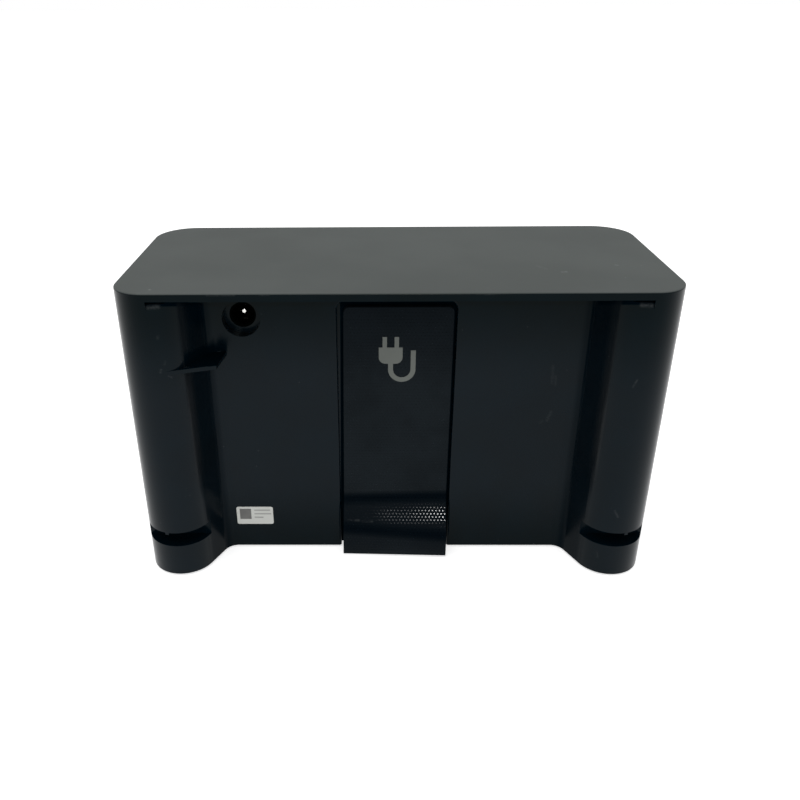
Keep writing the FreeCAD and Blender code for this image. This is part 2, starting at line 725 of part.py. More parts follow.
def build_jack():
    """The plug socket: moulded body with its nose in the wall, centre pin and sleeve contact."""
    jack = new_body("jack_body")
    nose = new_sketch(jack, FACING_FRONT, JACK_FACE)
    add_circle(nose, JACK_X, JACK_Z, "jack_hole_diameter - 2 * jack_gap")
    pad(jack, nose, "jack_floor")
    block = new_sketch(jack, FACING_FRONT, JACK_BACK)
    add_rectangle(block, f"{JACK_X} - jack_block_width / 2", BOARD_TOP,
                  f"{JACK_X} + jack_block_width / 2", f"{BOARD_TOP} + jack_block_height")
    pad(jack, block, "jack_block_depth")
    mouth = new_sketch(jack, FACING_FRONT, JACK_FACE)
    add_circle(mouth, JACK_X, JACK_Z, "jack_mouth_diameter")
    pocket(jack, mouth, "jack_mouth_depth")
    rim = value("jack_mouth_diameter")
    dress_edges(jack, "Chamfer", "jack_mouth_chamfer", lambda edge: lies_at(edge, "Y", -value(JACK_FACE))
                and abs(edge.BoundBox.XLength - rim) < CLOSE)

    pin = new_body("jack_pin")
    shaft = new_sketch(pin, FACING_FRONT, f"{JACK_FACE} + jack_pin_tip_depth")
    add_circle(shaft, JACK_X, JACK_Z, "jack_pin_diameter")
    pad(pin, shaft, "jack_mouth_depth - jack_pin_tip_depth")
    tip = -value(f"{JACK_FACE} + jack_pin_tip_depth")
    dress_edges(pin, "Fillet", "jack_pin_round", lambda edge: lies_at(edge, "Y", tip))

    leaf = new_body("jack_leaf")
    low = f"{JACK_Z} - jack_mouth_diameter / 2 + jack_leaf_rise"
    strip = new_sketch(leaf, FACING_FRONT, f"{JACK_FACE} + jack_mouth_depth - jack_leaf_length")
    add_rectangle(strip, f"{JACK_X} - jack_leaf_width / 2", low,
                  f"{JACK_X} + jack_leaf_width / 2", f"{low} + jack_leaf_thick")
    pad(leaf, strip, "jack_leaf_length")


def build_board():
    """The circuit board under its posts, with the capacitor and the chip that stand on it."""
    board = new_body("circuit_board")
    outline = new_sketch(board, FACING_UP, BOARD_BASE)
    add_rectangle(outline, f"-{BOARD_HALF}", f"-{BOARD_FRONT}", BOARD_HALF, f"-{BOARD_REAR}")
    for x, y in BOARD_SCREW_PLACES:
        add_circle(outline, x, y, "small_screw_diameter + 2 * screw_gap")
    pad(board, outline, "board_thick")

    middle = f"-({BOARD_FRONT} + {BOARD_REAR}) / 2"
    capacitor = new_body("filter_capacitor")
    pad_circles(capacitor, BOARD_TOP, [("capacitor_offset", middle)],
                "capacitor_diameter", "capacitor_height")

    chip = new_body("control_chip")
    case = new_sketch(chip, FACING_UP, BOARD_TOP)
    add_rectangle(case, "-chip_offset - chip_length / 2", f"{middle} - chip_width / 2",
                  "-chip_offset + chip_length / 2", f"{middle} + chip_width / 2")
    pad(chip, case, "chip_height")


def build_emitters():
    """Three beacons with their legs on the board, in bores of one holder."""
    places = {"left": EMITTER_X, "center": "0", "right": f"-{EMITTER_X}"}
    for name, x in places.items():
        emitter = new_body(f"ir_emitter_{name}")
        add_lens(emitter, x)
        add_legs(emitter, x)

    holder = new_body("emitter_holder")
    half = f"({EMITTER_X} + holder_end)"
    block = new_sketch(holder, FACING_FRONT, EMITTER_RIM)
    add_rectangle(block, f"-{half}", BOARD_TOP, half, f"{BOARD_TOP} + holder_height")
    for x in places.values():
        add_circle(block, x, EMITTER_Z, "emitter_diameter + 2 * emitter_bore_gap")
    pad(holder, block, "holder_depth")


def add_lens(emitter, x):
    """A beacon's barrel with its round end, and the rim at its back, turned about its axis."""
    profile = new_sketch(emitter, FACING_SIDE, x, f"-{EMITTER_RIM}", EMITTER_Z)
    add_outline(profile, [
        ("emitter_rim", "0"),
        ("emitter_rim", "emitter_rim_diameter / 2"),
        ("0", "emitter_rim_diameter / 2"),
        ("0", "emitter_diameter / 2"),
        ("-emitter_barrel", "emitter_diameter / 2", "left", "emitter_diameter / 2"),
        ("-emitter_barrel - emitter_diameter / 2", "0"),
    ])
    turned = emitter.newObject("PartDesign::Revolution", f"{emitter.Label}_turned")
    turned.Profile = profile
    turned.ReferenceAxis = (profile, ["H_Axis"])
    document.recompute()


def add_legs(emitter, x):
    """Two bent legs that run back from the rim and down to the board."""
    start = f"-{EMITTER_RIM} + emitter_rim"
    end = f"{start} + emitter_leg_reach"
    for sign in SIDES.values():
        place = f"{x} + {sign}emitter_leg_spacing / 2"
        leg = new_sketch(emitter, FACING_SIDE, place)
        add_outline(leg, [
            (start, f"{EMITTER_Z} - emitter_leg / 2"),
            (f"{end} - emitter_leg", f"{EMITTER_Z} - emitter_leg / 2"),
            (f"{end} - emitter_leg", BOARD_TOP),
            (end, BOARD_TOP),
            (end, f"{EMITTER_Z} + emitter_leg / 2"),
            (start, f"{EMITTER_Z} + emitter_leg / 2"),
        ])
        pad(emitter, leg, "emitter_leg", both_ways=True)


def build_tray():
    """The floor plate inside the housing and the hollow ramp in front of it."""
    tray = new_body("base_tray")
    plate = new_sketch(tray, FACING_UP, "pad_lift")
    add_plan(plate, "(wall + fit_gap)", stepped=True)
    pad(tray, plate, "plate_thick")
    add_ramp(tray)

    pad_circles(tray, "pad_lift", BASE_SCREW_PLACES, "post_diameter + 2 * post_foot_wall",
                "plate_thick + post_foot")
    cut_circles(tray, "pad_lift", BASE_SCREW_PLACES, "screw_diameter + 2 * screw_gap",
                "plate_thick + post_foot")
    cut_circles(tray, "pad_lift", BASE_SCREW_PLACES, "screw_head_diameter + 2 * screw_gap",
                "screw_head + screw_head_sink")
    cut_circles(tray, "pad_lift", FOOT_PLACES.values(), "foot_diameter + 2 * foot_gap",
                "foot_thick - pad_lift")


def add_ramp(tray):
    """The ramp: sloped at its front, hollow below, with contact windows and posts for the cover."""
    outline = new_sketch(tray, FACING_UP, "pad_lift")
    add_outline(outline, [
        (RAMP_HALF, f"-{RAMP_BACK}"),
        (f"-{RAMP_HALF}", f"-{RAMP_BACK}"),
        (f"-{RAMP_HALF}", f"-{RAMP_FRONT} + ramp_corner", "left", "ramp_corner"),
        (f"-{RAMP_HALF} + ramp_corner", f"-{RAMP_FRONT}"),
        (f"{RAMP_HALF} - ramp_corner", f"-{RAMP_FRONT}", "left", "ramp_corner"),
        (RAMP_HALF, f"-{RAMP_FRONT} + ramp_corner"),
    ])
    pad(tray, outline, "ramp_height - pad_lift")

    fall = "(ramp_height - pad_lift - ramp_lip)"
    slope = new_sketch(tray, FACING_SIDE)
    add_outline(slope, [
        (f"-{CAVITY_FRONT}", "ramp_height"),
        (f"-{CAVITY_FRONT}", f"ramp_height + {fall}"),
        (f"-{RAMP_FRONT} - ramp_slope", f"ramp_height + {fall}"),
        (f"-{RAMP_FRONT} - ramp_slope", f"ramp_height - 2 * {fall}"),
    ])
    pocket(tray, slope, f"4 * {RAMP_HALF}", both_ways=True)
    dress_edges(tray, "Fillet", "ramp_round", rims_ramp)

    cavity = new_sketch(tray, FACING_UP, "pad_lift")
    add_rectangle(cavity, f"-{CAVITY_HALF}", f"-{CAVITY_FRONT}", CAVITY_HALF, f"-{CAVITY_BACK}")
    pocket(tray, cavity, f"{SKIN} - pad_lift")

    windows = new_sketch(tray, FACING_UP, SKIN)
    for sign in SIDES.values():
        add_contact_outline(windows, sign, "contact_gap")
    pocket(tray, windows, "ramp_wall")

    pad_circles(tray, COVER_TOP, COVER_SCREW_PLACES, "cover_post_diameter", f"{SKIN} - {COVER_TOP}")
    cut_circles(tray, COVER_TOP, COVER_SCREW_PLACES, "small_screw_diameter + 2 * screw_gap",
                f"{SKIN} - {COVER_TOP}")

    holes = new_sketch(tray, FACING_FRONT, RAMP_BACK)
    for sign in SIDES.values():
        add_circle(holes, f"{sign}{CONTACT_X}", LEAD_Z, "lead_hole_diameter")
    pocket(tray, holes, "ramp_wall")


def rims_ramp(edge):
    """Whether an edge runs round the upper faces of the ramp, apart from its back."""
    half = value(RAMP_HALF)
    if lies_at(edge, "Z", value("ramp_height")):
        return lies_at(edge, "X", half) or lies_at(edge, "X", -half)
    box = edge.BoundBox
    return box.YMax < -value(CAVITY_FRONT) + CLOSE and box.ZMin > value("pad_lift") + CLOSE


def add_contact_outline(sketch, sign, grow):
    """The rounded outline of one contact, grown all round."""
    reach_x = f"(contact_length / 2 + {grow})"
    reach_y = f"(contact_width / 2 + {grow})"
    add_rectangle(sketch, f"{sign}{CONTACT_X} - {reach_x}", f"-{CONTACT_Y} - {reach_y}",
                  f"{sign}{CONTACT_X} + {reach_x}", f"-{CONTACT_Y} + {reach_y}",
                  f"(contact_corner + {grow})")


def build_cover():
    """The plate that closes the ramp from below, with a peg inside each spring."""
    cover = new_body("contact_cover")
    half = f"({CAVITY_HALF} - fit_gap)"
    plate = new_sketch(cover, FACING_UP, "pad_lift")
    add_rectangle(plate, f"-{half}", f"-{CAVITY_FRONT} + fit_gap", half, f"-{CAVITY_BACK} - fit_gap")
    pad(cover, plate, "cover_thick")
    pegs = [(f"{sign}{CONTACT_X}", f"-{CONTACT_Y}") for sign in SIDES.values()]
    pad_circles(cover, COVER_TOP, pegs, "peg_diameter", "peg_height")
    cut_circles(cover, "pad_lift", COVER_SCREW_PLACES, "small_screw_diameter + 2 * screw_gap", "cover_thick")
    cut_circles(cover, "pad_lift", COVER_SCREW_PLACES, "small_screw_head_diameter + 2 * screw_gap",
                "small_screw_head")


def build_contact(name, sign):
    """One sprung contact with its spring, the terminal under it and the lead from the board."""
    contact = new_body(f"charge_contact_{name}")
    flange = new_sketch(contact, FACING_UP, f"{SKIN} - contact_sheet")
    add_contact_outline(flange, sign, "contact_flange")
    pad(contact, flange, "contact_sheet")
    crown = new_sketch(contact, FACING_UP, SKIN)
    add_contact_outline(crown, sign, "0")
    pad(contact, crown, f"{CONTACT_TOP} - {SKIN}")
    dress_edges(contact, "Fillet", "contact_crown", lambda edge: lies_at(edge, "Z", value(CONTACT_TOP)))
    hollow = new_sketch(contact, FACING_UP, f"{SKIN} - contact_sheet")
    add_contact_outline(hollow, sign, "(-contact_sheet)")
    pocket(contact, hollow, f"{CONTACT_TOP} - {SKIN}")
    build_spring(name, sign)
    build_terminal(name, sign)
    build_lead(name, sign)


def build_spring(name, sign):
    """The coil spring between the terminal and the contact's crown."""
    spring = new_body(f"contact_spring_{name}")
    base = f"({TERMINAL_TOP} + spring_end_gap + spring_wire / 2)"
    top = f"({CONTACT_TOP} - contact_sheet - spring_end_gap - spring_wire / 2)"
    wire = new_sketch(spring, FACING_FRONT, CONTACT_Y, f"{sign}{CONTACT_X}", base)
    add_circle(wire, "spring_diameter / 2", "0", "spring_wire")
    coil = spring.newObject("PartDesign::AdditiveHelix", f"{spring.Label}_coil")
    coil.Profile = wire
    coil.ReferenceAxis = (wire, ["V_Axis"])
    coil.Mode = "height-turns-angle"
    coil.setExpression("Height", bound(f"{top} - {base}"))
    coil.setExpression("Turns", bound("spring_turns"))
    document.recompute()


def build_terminal(name, sign):
    """The sheet-metal spring seat, with a tail that ends in an upright tab."""
    terminal = new_body(f"contact_terminal_{name}")
    x = f"{sign}{CONTACT_X}"
    half = "terminal_base / 2"
    tail = "terminal_tail_width / 2"
    seat = f"-{CONTACT_Y} + {half}"
    seat_sketch = new_sketch(terminal, FACING_UP, COVER_TOP)
    add_outline(seat_sketch, [
        (f"{x} - {half}", f"-{CONTACT_Y} - {half}"),
        (f"{x} + {half}", f"-{CONTACT_Y} - {half}"),
        (f"{x} + {half}", seat),
        (f"{x} + {tail}", seat),
        (f"{x} + {tail}", f"-{TAB_Y}"),
        (f"{x} - {tail}", f"-{TAB_Y}"),
        (f"{x} - {tail}", seat),
        (f"{x} - {half}", seat),
    ])
    add_circle(seat_sketch, x, f"-{CONTACT_Y}", "peg_diameter + 2 * peg_gap")
    pad(terminal, seat_sketch, "terminal_sheet")
    tab = new_sketch(terminal, FACING_FRONT, TAB_Y)
    add_rectangle(tab, f"{x} - {tail}", COVER_TOP, f"{x} + {tail}", f"{COVER_TOP} + terminal_tab")
    pad(terminal, tab, "terminal_sheet")


def build_lead(name, sign):
    """A lead that drops from the board, bends and runs forward under the ramp to the terminal."""
    lead = new_body(f"contact_lead_{name}")
    route = new_sketch(lead, FACING_SIDE, f"{sign}{CONTACT_X}")
    drop = sketch_line(route, (f"-{LEAD_Y}", BOARD_BASE), (f"-{LEAD_Y}", f"{LEAD_Z} + lead_bend"))
    bend_start = Vector(value(f"-{LEAD_Y}"), value(f"{LEAD_Z} + lead_bend"), 0)
    bend_end = Vector(value(f"-{LEAD_Y} - lead_bend"), value(LEAD_Z), 0)
    bend = route.addGeometry(arc_between(bend_start, bend_end, value("lead_bend"), "right"), False)
    run = sketch_line(route, (f"-{LEAD_Y} - lead_bend", LEAD_Z), (f"-{TAB_Y}", LEAD_Z))
    route.addConstraint(Sketcher.Constraint("Coincident", drop, 2, bend, 2))
    route.addConstraint(Sketcher.Constraint("Coincident", bend, 1, run, 1))
    dimension(route, "Radius", bend, formula="lead_bend")
    section = new_sketch(lead, FACING_UP, BOARD_BASE)
    add_circle(section, f"{sign}{CONTACT_X}", f"-{LEAD_Y}", "lead_diameter")
    pipe = lead.newObject("PartDesign::AdditivePipe", f"{lead.Label}_pipe")
    pipe.Profile = section
    pipe.Spine = (route, [])
    document.recompute()


def sketch_line(sketch, start, end):
    """One straight stretch of a route, with both of its ends dimensioned."""
    places = [Vector(value(x), value(y), 0) for x, y in (start, end)]
    line = sketch.addGeometry(Part.LineSegment(*places), False)
    fix_point(sketch, line, 1, *start)
    fix_point(sketch, line, 2, *end)
    return line


def build_screws(label, places, under_head, size, head_diameter, head, length):
    """A set of like screws that point up, each with a cross in its head."""
    screws = new_body(label)
    pad_circles(screws, f"{under_head} - {head}", places, head_diameter, head)
    pad_circles(screws, under_head, places, size, length)
    reach = f"({head_diameter} * screw_cross_span_ratio / 2)"
    half = f"({head_diameter} * screw_cross_width_ratio / 2)"
    cross = new_sketch(screws, FACING_UP, f"{under_head} - {head}")
    for x, y in places:
        add_outline(cross, [
            (f"{x} - {reach}", f"{y} - {half}"), (f"{x} - {half}", f"{y} - {half}"),
            (f"{x} - {half}", f"{y} - {reach}"), (f"{x} + {half}", f"{y} - {reach}"),
            (f"{x} + {half}", f"{y} - {half}"), (f"{x} + {reach}", f"{y} - {half}"),
            (f"{x} + {reach}", f"{y} + {half}"), (f"{x} + {half}", f"{y} + {half}"),
            (f"{x} + {half}", f"{y} + {reach}"), (f"{x} - {half}", f"{y} + {reach}"),
            (f"{x} - {half}", f"{y} + {half}"), (f"{x} - {reach}", f"{y} + {half}"),
        ])
    pocket(screws, cross, f"{head} * screw_cross_depth_ratio")


def build_feet():
    """Four rubber pads, let into the tray."""
    for label, place in FOOT_PLACES.items():
        foot = new_body(label)
        pad_circles(foot, "0", [place], "foot_diameter", "foot_thick")


def build_label():
    """The sticker on the recessed wall."""
    label = new_body("rear_label")
    half = "label_width / 2"
    face = new_sketch(label, FACING_FRONT, "recess_depth - label_thick")
    add_rectangle(face, f"{LABEL_X} - {half}", "label_base", f"{LABEL_X} + {half}",
                  "label_base + label_height", "label_corner")
    pad(label, face, "label_thick")


def check_document():
    """Stops if any object failed, or if a piece has no valid shape."""
    for item in document.Objects:
        if "Invalid" in item.State or "Error" in item.State:
            raise RuntimeError(f"{item.Label} failed: {item.State}")
    for piece in pieces:
        if piece.Shape.isNull() or not piece.Shape.isValid():
            raise RuntimeError(f"{piece.Label} has no valid shape")


fill_sheet()
build_housing()
build_window()
build_strap()
build_jack()
build_board()
build_emitters()
build_tray()
build_cover()
for side_name, side_sign in SIDES.items():
    build_contact(side_name, side_sign)
build_screws("base_screws", BASE_SCREW_PLACES, "(pad_lift + screw_head_sink + screw_head)",
             "screw_diameter", "screw_head_diameter", "screw_head", "screw_length")
build_screws("board_screws", BOARD_SCREW_PLACES, BOARD_BASE,
             "small_screw_diameter", "small_screw_head_diameter", "small_screw_head", "small_screw_length")
build_screws("cover_screws", COVER_SCREW_PLACES, "(pad_lift + small_screw_head)",
             "small_screw_diameter", "small_screw_head_diameter", "small_screw_head",
             f"({SKIN} - pad_lift - small_screw_head - screw_tip_gap)")
build_feet()
build_label()
document.recompute()
check_document()

os.makedirs("parts", exist_ok=True)
for piece in pieces:
    piece.Shape.exportStep(f"parts/{piece.Label}.step")
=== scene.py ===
"""Looks of a robot vacuum charging dock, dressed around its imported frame.

The dock stands on a pale floor with its cord recess towards +Y, and the camera looks down on that side.
Sizes are in millimetres, and MM turns them into the scene's metres.
"""

import json
import logging
import math
from collections.abc import Callable, Sequence
from dataclasses import dataclass
from enum import Enum
from functools import reduce

import bmesh
import bpy
from mathutils import Matrix, Vector


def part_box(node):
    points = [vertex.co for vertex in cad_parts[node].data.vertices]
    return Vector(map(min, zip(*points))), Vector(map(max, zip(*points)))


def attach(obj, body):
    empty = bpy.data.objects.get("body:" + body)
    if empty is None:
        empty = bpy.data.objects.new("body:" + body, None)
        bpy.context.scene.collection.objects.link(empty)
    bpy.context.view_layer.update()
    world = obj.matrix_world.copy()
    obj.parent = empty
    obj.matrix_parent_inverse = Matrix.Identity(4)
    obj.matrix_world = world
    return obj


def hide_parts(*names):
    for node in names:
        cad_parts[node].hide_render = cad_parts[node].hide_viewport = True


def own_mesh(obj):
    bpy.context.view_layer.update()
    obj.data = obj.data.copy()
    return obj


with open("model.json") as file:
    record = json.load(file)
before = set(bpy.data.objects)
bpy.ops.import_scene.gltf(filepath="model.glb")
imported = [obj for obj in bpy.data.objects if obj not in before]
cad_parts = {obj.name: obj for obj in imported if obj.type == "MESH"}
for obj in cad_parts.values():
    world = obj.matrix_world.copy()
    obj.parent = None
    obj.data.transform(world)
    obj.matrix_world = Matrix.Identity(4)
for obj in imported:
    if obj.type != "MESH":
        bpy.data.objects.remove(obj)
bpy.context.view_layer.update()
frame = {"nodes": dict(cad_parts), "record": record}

MM = 0.001
DOCK = "dock"
TONE = "tone"
GLOSS = "gloss"

# Margins for finding edges and faces: in millimetres, and as a share of a half width.
NEAR = 0.1
TOUCH = 0.01
OUTER = 0.9

# Edges sharper than this angle in degrees stay sharp.
SMOOTH_ANGLE = 40.0

# Noise counts as none below the first of these and as full above the second.
NOISE_ENDS = (0.3, 0.7)

LOG = logging.getLogger("charging_dock")

Colour = tuple[float, float, float]
Point = tuple[float, float, float]
Pair = tuple[float, float]
Piece = bpy.types.Object
Socket = bpy.types.NodeSocket
Source = Socket | float | Sequence[float] | None


class Side(Enum):
    """The two sprung contacts."""

    LEFT = "left"
    RIGHT = "right"


class Part(Enum):
    """What a test picks in edit mode."""

    FACE = "FACE"
    EDGE = "EDGE"


def top_of(node: str) -> float:
    """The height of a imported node's top in millimetres."""
    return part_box(node)[1].z / MM


@dataclass(frozen=True)
class Scuff:
    """A scratch, a smudge or a painted highlight around a short line, fading out at a radius in
    millimetres.
    """

    start: Point
    end: Point
    radius: float
    strength: float = 0.4


class NodeSketch:
    """A material's nodes, drawn one at a time around one shader."""

    def __init__(self, name: str) -> None:
        """Starts a material that has only a shader and an output.

        Args:
            name: The material's name.
        """
        self.material = bpy.data.materials.new(name)
        self.material.use_nodes = True
        self.tree = self.material.node_tree
        self.shader = self.tree.nodes["Principled BSDF"]
        self.place = self.tree.nodes.new("ShaderNodeTexCoord").outputs["Object"]

    def set(self, **constants: float | Colour) -> None:
        """Sets sockets of the shader that are the same all over the surface.

        Args:
            constants: Values by socket name, with underscores for spaces.
        """
        for name, value in constants.items():
            socket = self.shader.inputs[name.replace("_", " ")]
            socket.default_value = (*value, 1.0) if isinstance(value, tuple) else value

    def feed(self, socket: str, source: Socket) -> None:
        """Links a source to one of the shader's sockets."""
        self.tree.links.new(source, self.shader.inputs[socket])

    def fed(self, socket: str) -> Socket:
        """The source that one of the shader's sockets is linked to."""
        return self.shader.inputs[socket].links[0].from_socket

    def node(self, kind: str, *sources: Source, **settings: object) -> bpy.types.Node:
        """Adds a node.

        Args:
            kind: The node's type, without its common prefix.
            sources: What each input gets, in order: a socket, a value, or None to leave it.
            settings: Attributes of the node.

        Returns:
            The new node.
        """
        made = self.tree.nodes.new(f"ShaderNode{kind}")
        for name, value in settings.items():
            setattr(made, name, value)
        for socket, source in zip(made.inputs, sources):
            if isinstance(source, Socket):
                self.tree.links.new(source, socket)
            elif source is not None:
                socket.default_value = source
        return made

    def math(self, operation: str, *sources: Source) -> Socket:
        """The result of a calculation with numbers, kept from 0 to 1 where it ends in a star."""
        clamped = operation.endswith("*")
        return self.node("Math", *sources, operation=operation.rstrip("*"), use_clamp=clamped).outputs[0]

    def vector(self, operation: str, *sources: Source) -> bpy.types.Node:
        """A node that calculates with vectors."""
        return self.node("VectorMath", *sources, operation=operation)

    def axis(self, name: str) -> Socket:
        """One coordinate of the place on the surface, in metres."""
        return self.node("SeparateXYZ", self.place).outputs[name]

    def noise(self, size: float, detail: float = 2.0) -> Socket:
        """Soft noise whose blots are about as large as a size in millimetres."""
        made = self.node("TexNoise", self.place)
        made.inputs["Scale"].default_value = 1.0 / (size * MM)
        made.inputs["Detail"].default_value = detail
        return made.outputs["Fac"]

    def aside(self) -> Socket:
        """The distance from the dock's middle plane, in metres."""
        return self.math("ABSOLUTE", self.axis("X"))

    def product(self, *masks: Source) -> Socket:
        """Several masks multiplied."""
        return reduce(lambda one, other: self.math("MULTIPLY", one, other), masks)

    def most(self, *masks: Source) -> Socket:
        """The largest of several masks."""
        return reduce(lambda one, other: self.math("MAXIMUM", one, other), masks)

    def span(self, source: Socket, ends: Pair, levels: Pair = (0.0, 1.0)) -> Socket:
        """A value that goes smoothly from one level to another.

        Args:
            source: The value that it follows.
            ends: Where in the source it starts and ends.
            levels: The levels at the start and at the end.

        Returns:
            The level.
        """
        made = self.node("MapRange", source, interpolation_type="SMOOTHSTEP")
        for name, value in zip(("From Min", "From Max", "To Min", "To Max"), (*ends, *levels)):
            made.inputs[name].default_value = value
        return made.outputs["Result"]

    def fade(self, source: Socket, ends: Pair, levels: Pair = (0.0, 1.0)) -> Socket:
        """A span whose ends are in millimetres."""
        return self.span(source, (ends[0] * MM, ends[1] * MM), levels)

    def mix(self, share: Socket, low: Source, high: Source) -> Socket:
        """Two colours mixed by a share from 0 to 1."""
        made = self.tree.nodes.new("ShaderNodeMix")
        made.data_type = "RGBA"
        self.tree.links.new(share, made.inputs["Factor"])
        for name, source in (("A", low), ("B", high)):
            socket = next(i for i in made.inputs if i.name == name and i.type == "RGBA")
            if isinstance(source, Socket):
                self.tree.links.new(source, socket)
            else:
                socket.default_value = (*source, 1.0)
        return next(o for o in made.outputs if o.type == "RGBA")

    def bump(self, height: Socket, depth: float) -> None:
        """Gives the shader a relief of a depth in millimetres."""
        made = self.tree.nodes.new("ShaderNodeBump")
        made.inputs["Distance"].default_value = depth * MM
        self.tree.links.new(height, made.inputs["Height"])
        self.feed("Normal", made.outputs["Normal"])

    def scuff(self, mark: Scuff) -> Socket:
        """A mask that has a mark's strength on its line and is 0 off it."""
        start = Vector(mark.start) * MM
        line = Vector(mark.end) * MM - start
        away = self.vector("SUBTRACT", self.place, start).outputs["Vector"]
        along = self.vector("DOT_PRODUCT", away, line).outputs["Value"]
        share = self.math("DIVIDE*", along, line.length_squared)
        nearest = self.vector("SCALE", line, None, None, share).outputs["Vector"]
        gap = self.vector("DISTANCE", away, nearest).outputs["Value"]
        return self.fade(gap, (0.0, mark.radius), (mark.strength, 0.0))

    def specks(self, spacing: float, radius: float, strength: float) -> Socket:
        """A mask of sparse specks, with a spacing and a largest radius in millimetres."""
        cells = self.node("TexVoronoi", self.place)
        cells.inputs["Scale"].default_value = 1.0 / (spacing * MM)
        return self.span(cells.outputs["Distance"], (0.0, radius / spacing), (strength, 0.0))

    def within(self, value: Socket, ends: Pair, blur: float) -> Socket:
        """A mask of the places whose value lies between two others in millimetres, with soft ends."""
        low, high = ends
        rise = self.fade(value, (low - blur, low))
        return self.product(rise, self.fade(value, (high, high + blur), (1.0, 0.0)))

    def cover(self, mask: Socket, colour: Source) -> None:
        """Lays a colour over the base colour where a mask is 1."""
        self.feed("Base Color", self.mix(mask, self.fed("Base Color"), colour))


@dataclass(frozen=True)
class Finish:
    """A moulded or coated surface with a fine grain, uneven gloss and faint patches."""

    name: str
    colour: Colour
    roughness: float
    ior: float = 1.45
    grain: float = 0.4
    relief: float = 0.01
    mottle: float = 0.12
    metallic: float = 0.0
    patch_size: float = 14.0
    patch_detail: float = 3.0
    smear_size: float = 9.0
    smear_detail: float = 4.0
    smear: float = 0.04
    fine: float = 0.03

    def sketch(self) -> NodeSketch:
        """Draws the finish.

        Returns:
            The sketch, to which a finish of a narrower kind adds its own marks.
        """
        drawn = NodeSketch(self.name)
        drawn.set(Metallic=self.metallic, IOR=self.ior)
        dim = tuple(c * (1 - self.mottle) for c in self.colour)
        bright = tuple(c * (1 + self.mottle) for c in self.colour)
        patches = drawn.span(drawn.noise(self.patch_size, self.patch_detail), NOISE_ENDS)
        drawn.feed("Base Color", drawn.mix(patches, dim, bright))
        grain = drawn.noise(self.grain)
        smears = drawn.noise(self.smear_size, self.smear_detail)
        smears = drawn.span(smears, NOISE_ENDS, (-self.smear, self.smear))
        fine = drawn.span(grain, NOISE_ENDS, (-self.fine, self.fine))
        drawn.feed("Roughness", drawn.math("ADD*", drawn.math("ADD", smears, fine), self.roughness))
        drawn.bump(grain, self.relief)
        return drawn

    def material(self) -> bpy.types.Material:
        """The finish as a material."""
        return self.sketch().material


